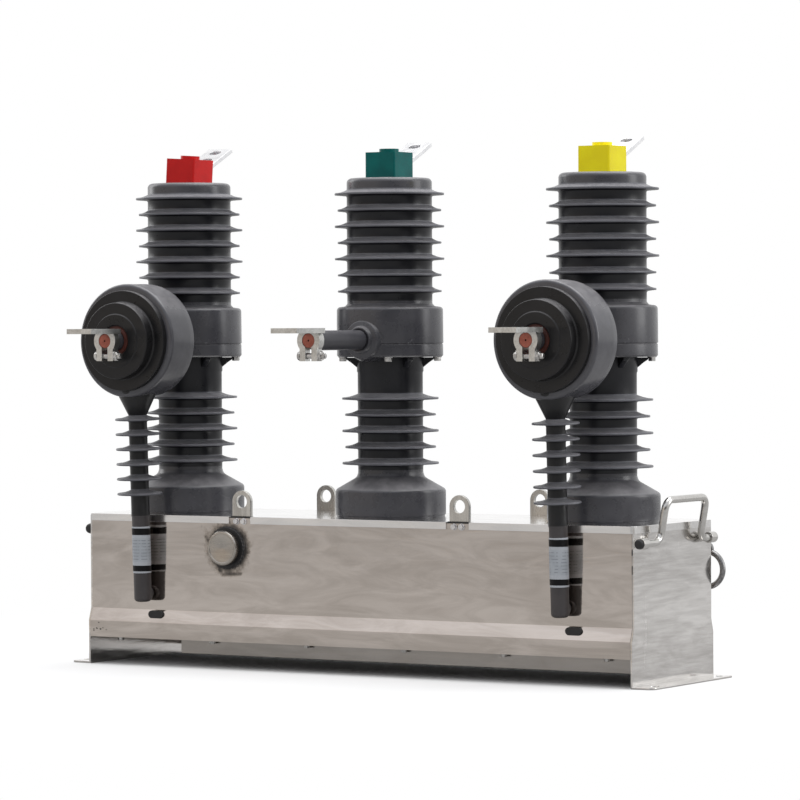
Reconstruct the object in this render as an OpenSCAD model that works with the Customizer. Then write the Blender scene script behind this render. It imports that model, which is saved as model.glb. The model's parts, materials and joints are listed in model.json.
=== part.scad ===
/* [Enclosure] */
// Length of the steel box between the outer faces of its end plates
box_l = 886; // [700:1:1100]
// Depth of the box above the ledge
box_d = 220; // [180:1:300]
// Height of the lid's top face above the ground
box_h = 215; // [190:1:300]
// Thickness of the panels and end plates
sheet = 3; // [2:0.5:4]
// Thickness of the lid sheet
lid_t = 2; // [1.5:0.5:3]
// Depth of the lid's turned-down edge
lid_edge_h = 10; // [6:1:14]
// Radius of the lid's corners
lid_corner_r = 9; // [4:1:16]
// Height of the ledge's upper bend
ledge_top_z = 80; // [74:1:95]
// Height of the ledge's lower bend
ledge_bottom_z = 62; // [58:1:66]
// Height of the skirt's lower edge
skirt_z = 39; // [30:1:44]
// Height of the back skirt's lower edge
back_skirt_z = 12; // [8:1:17]
// How far the skirt stands out from the panel above it
skirt_out = 6; // [4:1:10]

/* [Feet and pan] */
// Width of each foot flange
foot_w = 32; // [26:1:45]
// Radius of the foot flange's outer corners
foot_corner_r = 10; // [4:1:14]
// Radius of the holes for the holding-down bolts
foot_hole_r = 6.5; // [5:0.5:9]
// Distance between the two bolt holes of one foot
foot_hole_spacing = 180; // [120:1:190]
// Distance from the end plate to the bolt holes
foot_hole_off = 20; // [15:1:21]
// Height of the pan's underside
pan_z = 19; // [12:1:26]
// Distance from the left end plate to the pan
pan_gap = 152; // [100:1:240]
// Number of bolts along the front skirt
skirt_bolts_n = 6; // [3:1:8]

/* [Poles] */
// Distance between neighbouring phases
phase_pitch = 340; // [300:1:400]
// Distance of the poles in front of the middle of the box
pole_forward = 6; // [0:1:12]
// Radius of the bell at the foot of a pole
bell_r = 77; // [70:1:90]
// Height of the bell's shoulder above the lid
bell_h = 39; // [30:1:60]
// Radius of the lower core
lower_core_r = 45.5; // [36:0.5:54]
// Radius of the large lower sheds
lower_shed_r = 67.5; // [60:0.5:74]
// Height of the lower column, from the lid to the collar
lower_h = 223; // [205:1:280]
// Radius of the upper core
upper_core_r = 59.5; // [50:0.5:64]
// Radius of the large upper sheds
upper_shed_r = 76.5; // [70:0.5:84]
// Height of the upper column, from the collar's foot to the dome
upper_h = 249; // [235:1:300]
// Radius of the collar
collar_r = 74.5; // [70:0.5:80]
// Height of the collar
collar_h = 69; // [60:1:76]
// How much smaller the radius of every second shed is
shed_step = 4; // [2:0.5:8]
// Distance between neighbouring sheds
shed_pitch = 22.6; // [20:0.1:24]

/* [Terminals] */
// Height of the outlet rod's axis above the collar's foot
outlet_up = 24; // [16:0.5:30]
// Distance from the pole's axis to the tip of the outlet rod
outlet_reach = 209; // [208:1:240]
// Radius of the copper outlet rod
rod_r = 10; // [8:0.5:12]
// Wall of the insulating sleeve on the rod
sleeve_wall = 3.5; // [2.5:0.5:5]
// Width of the flat terminal pads
pad_w = 42; // [36:1:50]
// Length of the flat terminal pads
pad_l = 70; // [66:1:100]
// Thickness of the flat terminal pads
pad_t = 7; // [5:0.5:9]
// Radius of the two bolt holes in a pad
pad_hole_r = 6.5; // [5:0.5:7]
// Distance between the two bolt holes in a pad
pad_hole_pitch = 30; // [24:1:34]
// Slope of the upper terminal plates
top_slope = 25.6; // [20:0.1:30]
// Width of the upper terminal plates
top_plate_w = 40; // [32:1:41]
// Distance from the pole's axis to the end of an upper terminal plate
top_reach = 80; // [70:1:90]
// Width of a phase cap
cap_w = 49; // [46:1:54]
// Depth of a phase cap
cap_d = 50; // [46:1:56]
// Height of a phase cap's box
cap_h = 36; // [32:1:40]

/* [Current transformers] */
// Radius of the ring body
ct_r = 80; // [72:1:88]
// Length of the ring body along the rod
ct_l = 65; // [50:1:70]
// Distance from the pole's axis to the back of the ring body
ct_back = 102; // [100:1:104]
// Radius of the arm that hangs from the ring
arm_r = 13; // [11:0.5:16]
// Radius of the arm's sheds
arm_shed_r = 32; // [26:0.5:38]
// Number of sheds on the arm
arm_sheds_n = 6; // [3:1:6]
// Height of the arm's lower end above the ground
arm_end_z = 92; // [86:1:110]
// Height of the label's lower edge
label_z = 133; // [125:0.5:140]
// Height of the label
label_h = 66; // [40:0.5:70]

/* [Fittings] */
// Distance of the lifting lugs from the middle of the box
lug_x = 178; // [150:1:220]
// Width of a lifting lug
lug_w = 31; // [28:1:40]
// Thickness of a lifting lug
lug_t = 6; // [4:0.5:8]
// Radius of the hole in a lifting lug
lug_hole_r = 9; // [6:0.5:10]
// Height of that hole above the lid
lug_hole_up = 21; // [16:1:30]
// Radius of the round plug's cap
plug_r = 24.3; // [18:0.1:30]
// Distance of the round plug from the middle of the box
plug_x = 205; // [190:1:230]
// Height of the round plug's axis
plug_z = 171; // [150:1:175]
// Radius of the bent handle rod
handle_rod_r = 5; // [4:0.5:6]
// Height of the handle above its hinge
handle_h = 57; // [45:1:80]
// Distance between the handle's two legs
handle_legs = 114; // [90:1:130]
// Height of the handle's hinge above the ground
hinge_z = 192; // [175:1:195]
// Lean of the raised handle
handle_lean = 10; // [6:1:20]
// Outer radius of the pull ring
pull_ring_r = 28; // [20:1:30]

/* [Hidden] */
$fn = 64;

LEFT = -1;
MIDDLE = 0;
RIGHT = 1;
FRONT = -1;
BACK = 1;

// Clearances
part_gap = 0.3;
rod_fit = 0.1;
pin_fit = 0.06;

// Box
inner_l = box_l - 2 * sheet;
half_d = box_d / 2;
skirt_y = half_d + skirt_out;
panel_top_z = box_h - lid_t;
lid_edge_z = box_h - lid_edge_h;
skirt_in_y = skirt_y - sheet;
skirt_flange = 13;
pan_y = skirt_y - skirt_flange;
pan_wall = 2;
pan_rim_z = ledge_bottom_z - 6;
pan_left_x = -box_l / 2 + pan_gap;
floor_z = skirt_z + sheet;
floor_t = 2;
skirt_bolt_y = skirt_y - 7;
skirt_bolt_r = 4.5;
skirt_bolt_h = 4;
skirt_bolt_end = 47;
skirt_bolt_shift = 5;
grommet_l = 26;
grommet_h = 11;
grommet_proud = 2;
grommet_shift = 13;
grommet_z = (ledge_top_z + ledge_bottom_z) / 2 + 2.5;

// Poles
pole_y = -pole_forward;
collar_z = box_h + lower_h;
dome_z = collar_z + upper_h;
bell_slope_h = 15;
shed_root_up = 8;
shed_root_down = 3.5;
shed_edge = 1.4;
lower_sheds_n = 5;
upper_sheds_n = 7;
lower_shed_top = collar_z - 58;
upper_shed_top = dome_z - 22;
dome_round = 13;
collar_round = 5;
collar_foot_round = 3;
seam_up = 18;
seam_h = 2;
seam_depth = 1.2;
boss_r = 27;
boss_root = lower_core_r + 2;
boss_reach = 77;
boss_ring_r = 18;
boss_ring_reach = 82;
rib_w = 9;
rib_reach = 16;
rib_h = 15;
rib_angles = [30, 90, 150, 210, 330];

// Outlets
outlet_z = collar_z + outlet_up;
rod_start_y = pole_y - boss_ring_reach;
rod_tip_y = pole_y - outlet_reach;
sleeve_end_y = pole_y - 192;
sleeve_r = rod_r + rod_fit + sleeve_wall;
clamp_l = 12;
clamp_wall = 8;
clamp_barrel_r = 13;
clamp_r = rod_r + rod_fit + clamp_wall;
clamp_leg_t = 9;
clamp_slit = 10;
clamp_drop = rod_r + 18;
clamp_bolt_r = 4;
clamp_bolt_drop = rod_r + 11;
clamp_bolt_y = rod_tip_y + clamp_l / 2;
pad_z = outlet_z + rod_r;
pad_back_y = rod_tip_y + clamp_l - 2;
pad_hole_edge = 14;

// Upper terminals and caps
cap_wall = 2;
cap_corner_r = 3;
cap_knob_r = 13.7;
cap_knob_h = 5;
top_plate_t = 6;
top_plate_rise = 14;
top_post = 24;
top_slot_r = 6;
top_slot_l = 18;
top_slot_pitch = 26;
cap_slot_room = 1;

// Current transformers
ct_edge = 8;
ct_face = 8;
ct_face_r = 70.5;
ct_bore_r = sleeve_r + part_gap;
ct_front_y = pole_y - ct_back - ct_l;
ct_axis_y = pole_y - ct_back - ct_l / 2 + 2.5;
ct_step_1_r = 53.5;
ct_step_2_r = 37;
ct_step_1 = 16;
ct_step_2 = 17.5;
arm_top_z = outlet_z - ct_r + 8;
funnel_top_r = 28;
arm_lean = 2.3;
funnel_h = 33;
arm_shed_pitch = 21.1;
arm_shed_top = arm_top_z - 39;
arm_block_r = arm_r - 0.5;
arm_round = 6;
stub_r = 10.5;
stub_l = 14;
stub_round = 4;
label_t = 0.6;

// Lugs and plug
lug_y = half_d - sheet;
lug_drop = 46;
lug_hole_z = box_h + lug_hole_up;
lug_front_shift = -6;
lug_notch_w = lug_w + 5;
lug_notch_d = lug_t + sheet + lid_t + 1;
lug_bolt_r = 4.5;
lug_bolt_h = 4;
lug_bolt_pitch = 12;
plug_ring_r = plug_r + 6.3;
plug_ring_t = 5;
plug_cap_t = 11.5;
plug_bevel = 1.5;

// Handles
hinge_off = 10.5;
hinge_x = box_l / 2 + hinge_off;
boss_tube_r = 7.5;
boss_tube_l = 16;
boss_foot = 8;
rod_end = 2;
hinge_front_y = -half_d + 5;
hinge_back_y = half_d - 22;
bend_r = 14;
leg_y = handle_legs / 2;

// Trip lever
lever_x = box_l / 2 - 58;
lever_z = 174;
lever_arm = 45;
lever_w = 18;
lever_t = 6;
lever_pin_r = 5;
lever_boss_r = 11;
lever_boss_h = 9;
lever_head_r = 9;
lever_head_h = 4;
ring_rod_r = 4;
ring_centre_r = pull_ring_r - ring_rod_r;

function shed_radius(r, i) = i % 2 == 0 ? r : r - shed_step;
function phase_x(side) = side * phase_pitch;
function plate_top_z(y) = top_plate_rise + y * tan(top_slope);
function plate_middle_z(y) = plate_top_z(y) - top_plate_t / 2 / cos(top_slope);

// Rectangle with round corners, centred on the origin
module round_rectangle(l, w, r) {
    square([l, w - 2 * r], center = true);
    square([l - 2 * r, w], center = true);
    for (x = [-1, 1], y = [-1, 1])
        translate([x * (l / 2 - r), y * (w / 2 - r)])
            circle(r);
}

// Slot that runs along X between two half circles
module slot(l, r) {
    square([l - 2 * r, 2 * r], center = true);
    for (x = [-1, 1])
        translate([x * (l / 2 - r), 0])
            circle(r);
}

// Cylinder along Y, from y1 to y2
module rod_y(r, y1, y2) {
    translate([0, max(y1, y2), 0])
        rotate([90, 0, 0])
            cylinder(h = abs(y2 - y1), r = r);
}

// Cylinder along X, from x1 to x2
module rod_x(r, x1, x2) {
    translate([min(x1, x2), 0, 0])
        rotate([0, 90, 0])
            cylinder(h = abs(x2 - x1), r = r);
}

// Outline in the Y-Z plane, drawn out along X
module along_x(x1, x2) {
    translate([x1, 0, 0])
        rotate([90, 0, 90])
            linear_extrude(x2 - x1)
                children();
}

// Solid of revolution about the Y axis; the outline's second axis points forwards
module turned_forwards() {
    rotate([90, 0, 0])
        rotate_extrude($fn = 96)
            children();
}

module skirt_bolt_places() {
    span = box_l - 2 * skirt_bolt_end;
    for (i = [0 : skirt_bolts_n - 1])
        translate([skirt_bolt_shift - span / 2 + i * span / (skirt_bolts_n - 1), 0, skirt_z - skirt_bolt_h])
            children();
}

function lug_at(x, side) = side == FRONT ? x + lug_front_shift : x;

module lug_notches() {
    for (x = [-lug_x, lug_x], side = [FRONT, BACK])
        translate([lug_at(x, side), side * (half_d + lid_t - lug_notch_d / 2), 0])
            translate([-lug_notch_w / 2, -lug_notch_d / 2 - 1, lid_edge_z - 1])
                cube([lug_notch_w, lug_notch_d + 2, lid_edge_h + 2]);
}

module lid() {
    color("silver")
        difference() {
            translate([0, 0, lid_edge_z])
                linear_extrude(lid_edge_h)
                    round_rectangle(box_l + 2 * lid_t, box_d + 2 * lid_t, lid_corner_r);
            translate([-box_l / 2, -half_d, lid_edge_z - 1])
                cube([box_l, box_d, lid_edge_h - lid_t + 1]);
            lug_notches();
        }
}

// Bent front panel in section, its outer face towards -Y
module front_outline() {
    polygon([
        [-half_d, panel_top_z],
        [-half_d, ledge_top_z],
        [-skirt_y, ledge_bottom_z],
        [-skirt_y, skirt_z],
        [-pan_y, skirt_z],
        [-pan_y, skirt_z + sheet],
        [-skirt_in_y, skirt_z + sheet],
        [-skirt_in_y, ledge_bottom_z],
        [-half_d + sheet, ledge_top_z],
        [-half_d + sheet, panel_top_z]
    ]);
}

// Bent back panel in section; its skirt is deeper and has no flange
module back_outline() {
    polygon([
        [half_d, panel_top_z],
        [half_d, ledge_top_z],
        [skirt_y, ledge_bottom_z],
        [skirt_y, back_skirt_z],
        [skirt_in_y, back_skirt_z],
        [skirt_in_y, ledge_bottom_z],
        [half_d - sheet, ledge_top_z],
        [half_d - sheet, panel_top_z]
    ]);
}

module bent_panel() {
    along_x(-inner_l / 2, inner_l / 2)
        children();
}

module grommet_places() {
    for (side = [LEFT, RIGHT])
        translate([phase_x(side) + grommet_shift, 0, grommet_z])
            children();
}

module front_panel() {
    color("gainsboro")
        difference() {
            bent_panel()
                front_outline();
            grommet_places()
                rotate([90, 0, 0])
                    linear_extrude(skirt_y + 1)
                        slot(grommet_l, grommet_h / 2);
        }
}

module back_panel() {
    color("gainsboro")
        bent_panel()
            back_outline();
}

module end_outline() {
    polygon([
        [-half_d, panel_top_z],
        [-half_d, ledge_top_z],
        [-skirt_y, ledge_bottom_z],
        [-skirt_y, 0],
        [skirt_y, 0],
        [skirt_y, ledge_bottom_z],
        [half_d, ledge_top_z],
        [half_d, panel_top_z]
    ]);
}

module foot_flange() {
    difference() {
        union() {
            translate([foot_w - foot_corner_r, -skirt_y + foot_corner_r, 0])
                cylinder(h = sheet, r = foot_corner_r);
            translate([foot_w - foot_corner_r, skirt_y - foot_corner_r, 0])
                cylinder(h = sheet, r = foot_corner_r);
            translate([0, -skirt_y + foot_corner_r, 0])
                cube([foot_w, 2 * (skirt_y - foot_corner_r), sheet]);
            translate([0, -skirt_y, 0])
                cube([foot_w - foot_corner_r, 2 * skirt_y, sheet]);
        }
        for (y = [-foot_hole_spacing / 2, foot_hole_spacing / 2])
            translate([foot_hole_off, y, -1])
                cylinder(h = sheet + 2, r = foot_hole_r);
    }
}

module right_end_plate() {
    color("lightgray") {
        along_x(inner_l / 2, box_l / 2)
            end_outline();
        translate([box_l / 2, 0, 0])
            foot_flange();
    }
}

module left_end_plate() {
    mirror([1, 0, 0])
        right_end_plate();
}

module floor_plate() {
    color("dimgray")
        translate([-inner_l / 2, -skirt_in_y, floor_z])
            cube([pan_left_x + inner_l / 2, 2 * skirt_in_y, floor_t]);
}

module bottom_pan() {
    pan_l = inner_l / 2 - pan_left_x;
    color("darkgray")
        difference() {
            translate([pan_left_x, -pan_y, pan_z])
                cube([pan_l, 2 * pan_y, pan_rim_z - pan_z]);
            translate([pan_left_x + pan_wall, -pan_y + pan_wall, pan_z + pan_wall])
                cube([pan_l - 2 * pan_wall, 2 * (pan_y - pan_wall), pan_rim_z]);
        }
}

module skirt_bolts() {
    color("gray")
        skirt_bolt_places()
            translate([0, -skirt_bolt_y, 0])
                cylinder(h = skirt_bolt_h, r = skirt_bolt_r, $fn = 6);
}

module cable_grommets() {
    color([0.12, 0.12, 0.12])
        grommet_places()
            translate([0, -half_d - skirt_out / 2 + sheet, 0])
                rotate([90, 0, 0])
                    linear_extrude(sheet + grommet_proud)
                        slot(grommet_l - 2 * part_gap, grommet_h / 2 - part_gap);
}

// Outline of one shed; its tip lies at height z
module shed_outline(core_r, tip_r, z) {
    polygon([
        [core_r - 1, z + shed_root_up],
        [tip_r, z + shed_edge],
        [tip_r, z - shed_edge],
        [core_r - 1, z - shed_root_down]
    ]);
}

module lower_insulator(side) {
    color([0.42, 0.42, 0.43])
        translate([phase_x(side), pole_y, 0]) {
            rotate_extrude($fn = 96) {
                polygon([
                    [0, box_h],
                    [bell_r, box_h],
                    [bell_r, box_h + bell_h - 4],
                    [bell_r - 4, box_h + bell_h],
                    [lower_core_r, box_h + bell_h + bell_slope_h],
                    [lower_core_r, collar_z],
                    [0, collar_z]
                ]);
                for (i = [0 : lower_sheds_n - 1])
                    shed_outline(lower_core_r, shed_radius(lower_shed_r, i), lower_shed_top - i * shed_pitch);
            }
            for (a = rib_angles)
                rotate([0, 0, a])
                    lower_rib();
        }
}

// Gusset between the column and the underside of the collar
module lower_rib() {
    translate([lower_core_r - 2, rib_w / 2, collar_z])
        rotate([90, 0, 0])
            linear_extrude(rib_w)
                polygon([[0, 0], [rib_reach + 2, 0], [0, -rib_h]]);
}

module collar_outline() {
    difference() {
        union() {
            square([collar_r, collar_h - collar_round]);
            square([collar_r - collar_round, collar_h]);
            translate([collar_r - collar_round, collar_h - collar_round])
                circle(collar_round);
        }
        translate([collar_r - seam_depth, seam_up - seam_h / 2])
            square([seam_depth + 1, seam_h]);
        translate([collar_r, 0])
            rotate([0, 0, 45])
                square(collar_foot_round * sqrt(2), center = true);
    }
}

module upper_insulator(side) {
    color([0.42, 0.42, 0.43])
        translate([phase_x(side), pole_y, 0]) {
            rotate_extrude($fn = 96) {
                translate([0, collar_z])
                    collar_outline();
                translate([0, collar_z])
                    square([upper_core_r, upper_h - dome_round]);
                translate([0, collar_z])
                    square([upper_core_r - dome_round, upper_h]);
                translate([upper_core_r - dome_round, dome_z - dome_round])
                    circle(dome_round);
                for (i = [0 : upper_sheds_n - 1])
                    shed_outline(upper_core_r, upper_shed_size(i), upper_shed_top - i * shed_pitch);
            }
            translate([0, 0, outlet_z]) {
                rod_y(boss_r, -boss_reach, -boss_root);
                rod_y(boss_ring_r, -boss_ring_reach, -boss_reach);
            }
        }
}

// The two lowest upper sheds are both small
function upper_shed_size(i) = i == upper_sheds_n - 1 ? upper_shed_r - shed_step : shed_radius(upper_shed_r, i);

module phase_cap(side, shade) {
    slot_low_z = plate_top_z(cap_d / 2) - 2 * top_plate_t + cap_slot_room;
    color(shade)
        translate([phase_x(side), pole_y, dome_z]) {
            difference() {
                linear_extrude(cap_h)
                    round_rectangle(cap_w, cap_d, cap_corner_r);
                translate([0, 0, -1])
                    linear_extrude(cap_h - cap_wall + 1)
                        round_rectangle(cap_w - 2 * cap_wall, cap_d - 2 * cap_wall, cap_corner_r - 1);
                translate([-cap_w / 2 + cap_wall, cap_d / 2 - 2 * cap_wall, slot_low_z])
                    cube([cap_w - 2 * cap_wall, 3 * cap_wall, 2 * top_plate_t]);
            }
            translate([0, 0, cap_h])
                cylinder(h = cap_knob_h, r = cap_knob_r);
        }
}

module top_terminal(side) {
    start_y = -top_post / 2;
    plate_l = (top_reach - start_y) / cos(top_slope);
    start_z = plate_top_z(start_y);
    color("whitesmoke")
        translate([phase_x(side), pole_y, dome_z]) {
            along_x(-top_post / 2, top_post / 2)
                polygon([
                    [-top_post / 2, 0],
                    [top_post / 2, 0],
                    [top_post / 2, plate_middle_z(top_post / 2)],
                    [-top_post / 2, plate_middle_z(-top_post / 2)]
                ]);
            translate([0, start_y, start_z])
                rotate([top_slope, 0, 0])
                    difference() {
                        translate([-top_plate_w / 2, 0, -top_plate_t])
                            cube([top_plate_w, plate_l, top_plate_t]);
                        for (i = [0, 1])
                            translate([0, plate_l - 14 - i * top_slot_pitch, -top_plate_t - 1])
                                linear_extrude(top_plate_t + 2)
                                    slot(top_slot_l, top_slot_r);
                    }
        }
}

module rod_sleeve(side) {
    color([0.3, 0.31, 0.33])
        translate([phase_x(side), 0, outlet_z])
            difference() {
                rod_y(sleeve_r, sleeve_end_y, rod_start_y);
                rod_y(rod_r + rod_fit, sleeve_end_y - 1, rod_start_y + 1);
            }
}

module outlet_rod(side) {
    color([0.72, 0.45, 0.3])
        translate([phase_x(side), 0, outlet_z])
            rod_y(rod_r, rod_tip_y, rod_start_y);
}

module terminal_clamp(side) {
    leg_l = clamp_drop - rod_r / 2;
    color("whitesmoke")
        translate([phase_x(side), 0, 0])
            difference() {
                union() {
                    translate([0, 0, outlet_z]) {
                        rod_y(clamp_r, rod_tip_y, rod_tip_y + clamp_l);
                        rod_y(clamp_barrel_r, rod_tip_y + clamp_l / 2, sleeve_end_y);
                    }
                    for (x = [-clamp_slit / 2 - clamp_leg_t, clamp_slit / 2])
                        translate([x, rod_tip_y, outlet_z - clamp_drop])
                            cube([clamp_leg_t, clamp_l, leg_l]);
                    translate([-pad_w / 2, pad_back_y - pad_l, pad_z])
                        cube([pad_w, pad_l, pad_t]);
                }
                translate([0, 0, outlet_z])
                    rod_y(rod_r + rod_fit, rod_tip_y - 1, sleeve_end_y + 1);
                translate([-clamp_r - 1, rod_tip_y - 1, pad_z + pad_t])
                    cube([2 * clamp_r + 2, clamp_l + 2, clamp_r]);
                translate([-clamp_slit / 2, rod_tip_y - 1, outlet_z - clamp_drop - 1])
                    cube([clamp_slit, clamp_l + 2, clamp_drop]);
                translate([0, clamp_bolt_y, outlet_z - clamp_bolt_drop])
                    rod_x(clamp_bolt_r + part_gap, -clamp_r, clamp_r);
                for (i = [0, 1])
                    translate([0, pad_back_y - pad_l + pad_hole_edge + i * pad_hole_pitch, pad_z - 1])
                        cylinder(h = pad_t + 2, r = pad_hole_r);
            }
}

module clamp_bolts() {
    leg_x = clamp_slit / 2 + clamp_leg_t;
    head_h = 5;
    color("gray")
        for (side = [LEFT, MIDDLE, RIGHT])
            translate([phase_x(side), clamp_bolt_y, outlet_z - clamp_bolt_drop]) {
                rod_x(clamp_bolt_r, -leg_x - head_h, leg_x + 2 * head_h);
                translate([-leg_x - head_h, 0, 0])
                    rotate([0, 90, 0])
                        cylinder(h = head_h, r = 1.8 * clamp_bolt_r, $fn = 6);
                translate([leg_x, 0, 0])
                    rotate([0, 90, 0])
                        cylinder(h = head_h, r = 1.8 * clamp_bolt_r, $fn = 6);
            }
}

// Ring body: the outline runs from the back face forwards
module current_transformer(side) {
    color([0.35, 0.33, 0.31])
        translate([phase_x(side), pole_y - ct_back, outlet_z])
            turned_forwards()
                polygon([
                    [ct_bore_r, 0],
                    [ct_r - 2, 0],
                    [ct_r, 2],
                    [ct_r, ct_l - ct_face - ct_edge],
                    [ct_r - ct_edge * 0.3, ct_l - ct_face - ct_edge * 0.3],
                    [ct_r - ct_edge, ct_l - ct_face],
                    [ct_face_r, ct_l - ct_face],
                    [ct_face_r, ct_l - 1.5],
                    [ct_face_r - 1.5, ct_l],
                    [ct_step_1_r + 2, ct_l],
                    [ct_step_1_r, ct_l + 2],
                    [ct_step_1_r, ct_l + ct_step_1],
                    [ct_step_2_r + 1.5, ct_l + ct_step_1],
                    [ct_step_2_r, ct_l + ct_step_1 + 1.5],
                    [ct_step_2_r, ct_l + ct_step_2],
                    [ct_bore_r, ct_l + ct_step_2]
                ]);
}

// Short rounded outlet at the arm's elbow, pointing at the panel
module arm_stub() {
    rod_y(stub_r, 0, stub_l - stub_round);
    translate([0, stub_l - stub_round, 0])
        rotate([-90, 0, 0])
            cylinder(h = stub_round, r1 = stub_r, r2 = stub_r - stub_round * 0.6);
}

// Places a hanging arm, its foot leaning towards the panel
module leaning_arm(side) {
    translate([phase_x(side), ct_axis_y, arm_top_z])
        rotate([arm_lean, 0, 0])
            translate([0, 0, -arm_top_z])
                children();
}

module transformer_arm(side) {
    color([0.35, 0.33, 0.31])
        difference() {
            leaning_arm(side) {
                rotate_extrude() {
                    polygon([
                        [0, arm_end_z],
                        [arm_block_r - arm_round, arm_end_z],
                        [arm_block_r - arm_round * 0.3, arm_end_z + arm_round * 0.3],
                        [arm_block_r, arm_end_z + arm_round],
                        [arm_block_r, label_z + label_h + 14],
                        [arm_r, label_z + label_h + 16],
                        [arm_r, arm_top_z - funnel_h],
                        [funnel_top_r, arm_top_z],
                        [funnel_top_r, outlet_z - ct_r + 20],
                        [0, outlet_z - ct_r + 20]
                    ]);
                    for (i = [0 : arm_sheds_n - 1])
                        shed_outline(arm_r, arm_shed_r, arm_shed_top - i * arm_shed_pitch);
                }
                translate([0, 0, arm_end_z + stub_r + 1])
                    arm_stub();
            }
            translate([phase_x(side), 0, outlet_z])
                rod_y(ct_r, ct_front_y - 1, pole_y);
        }
}

module arm_labels() {
    color("whitesmoke")
        for (side = [LEFT, RIGHT])
            leaning_arm(side)
                translate([0, 0, label_z])
                    difference() {
                        cylinder(h = label_h, r = arm_block_r + label_t);
                        translate([0, 0, -1])
                            cylinder(h = label_h + 2, r = arm_block_r);
                    }
}

// Plate with a round top, carried inside the panel; side is FRONT or BACK
module lifting_lug(x, side) {
    color("silver")
        translate([lug_at(x, side), side == FRONT ? -lug_y + lug_t : lug_y, 0])
            rotate([90, 0, 0])
                linear_extrude(lug_t)
                    difference() {
                        union() {
                            translate([-lug_w / 2, lug_hole_z - lug_hole_up - lug_drop])
                                square([lug_w, lug_hole_up + lug_drop]);
                            translate([0, lug_hole_z])
                                circle(lug_w / 2);
                        }
                        translate([0, lug_hole_z])
                            circle(lug_hole_r);
                    }
}

module lug_bolts() {
    color("gray")
        for (x = [-lug_x, lug_x], side = [FRONT, BACK], i = [-1, 1])
            translate([lug_at(x, side) + i * lug_bolt_pitch / 2, side * half_d, panel_top_z - lug_bolt_r])
                rotate([side == FRONT ? 90 : -90, 0, 0])
                    cylinder(h = lug_bolt_h, r = lug_bolt_r, $fn = 6);
}

module plug_ring() {
    color("dimgray")
        translate([-plug_x, -half_d, plug_z])
            turned_forwards()
                polygon([
                    [0, 0],
                    [plug_ring_r, 0],
                    [plug_ring_r, plug_ring_t - 1],
                    [plug_ring_r - 1, plug_ring_t],
                    [0, plug_ring_t]
                ]);
}

module plug_cap() {
    color("silver")
        translate([-plug_x, -half_d - plug_ring_t, plug_z])
            turned_forwards()
                polygon([
                    [0, 0],
                    [plug_r, 0],
                    [plug_r, plug_cap_t - plug_bevel],
                    [plug_r - plug_bevel, plug_cap_t],
                    [0, plug_cap_t]
                ]);
}

// Two bored tubes on each end plate that hold the ends of a handle
module handle_bosses() {
    color("gray")
        for (side = [LEFT, RIGHT], y = [hinge_front_y, hinge_back_y])
            translate([side * hinge_x, side * y, hinge_z])
                difference() {
                    union() {
                        rod_y(boss_tube_r, -boss_tube_l / 2, boss_tube_l / 2);
                        translate([side == RIGHT ? -hinge_off : 0, -boss_tube_l / 2, -boss_foot / 2])
                            cube([hinge_off, boss_tube_l, boss_foot]);
                    }
                    rod_y(handle_rod_r + pin_fit, -boss_tube_l, boss_tube_l);
                }
}

// Quarter bend in the Y-Z plane about (y, z), anticlockwise from the start angle
module rod_bend(y, z, start) {
    translate([0, y, z])
        rotate([start, 0, 0])
            rotate([90, 0, 90])
                rotate_extrude(angle = 90)
                    translate([bend_r, 0])
                        circle(handle_rod_r);
}

// Bail with turned-out ends on the hinge axis, standing up along +Z
module bail() {
    end_l = boss_tube_l / 2 + rod_end;
    rod_y(handle_rod_r, hinge_front_y - end_l, -leg_y - bend_r);
    rod_y(handle_rod_r, leg_y + bend_r, hinge_back_y + end_l);
    translate([0, 0, handle_h])
        rod_y(handle_rod_r, -leg_y + bend_r, leg_y - bend_r);
    for (y = [-leg_y, leg_y])
        translate([0, y, bend_r])
            cylinder(h = handle_h - 2 * bend_r, r = handle_rod_r);
    rod_bend(-leg_y - bend_r, bend_r, -90);
    rod_bend(-leg_y + bend_r, handle_h - bend_r, 90);
    rod_bend(leg_y - bend_r, handle_h - bend_r, 0);
    rod_bend(leg_y + bend_r, bend_r, 180);
}

module carrying_handle_right() {
    color("silver")
        translate([hinge_x, 0, hinge_z])
            rotate([0, handle_lean, 0])
                bail();
}

module carrying_handle_left() {
    color("silver")
        translate([-hinge_x, 0, hinge_z])
            rotate([180, 0, 0])
                bail();
}

module lever_pivot() {
    pin_l = lever_t + 2 * part_gap;
    color("gray")
        translate([lever_x, half_d, lever_z]) {
            rod_y(lever_boss_r, 0, lever_boss_h);
            rod_y(lever_pin_r, lever_boss_h, lever_boss_h + pin_l);
            rod_y(lever_head_r, lever_boss_h + pin_l, lever_boss_h + pin_l + lever_head_h);
        }
}

module trip_lever() {
    color([0.2, 0.2, 0.22])
        translate([lever_x, half_d + lever_boss_h + part_gap, lever_z])
            difference() {
                union() {
                    rod_y(lever_boss_r, 0, lever_t);
                    translate([0, 0, -lever_w / 2])
                        cube([lever_arm, lever_t, lever_w]);
                    translate([lever_arm, 0, 0])
                        rod_y(lever_w / 2, 0, lever_t);
                    translate([lever_arm, lever_t / 2, -pull_ring_r])
                        rotate([90, 0, 0])
                            rotate_extrude()
                                translate([ring_centre_r, 0])
                                    circle(ring_rod_r);
                }
                rod_y(lever_pin_r + pin_fit, -1, lever_t + 1);
            }
}

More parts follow.
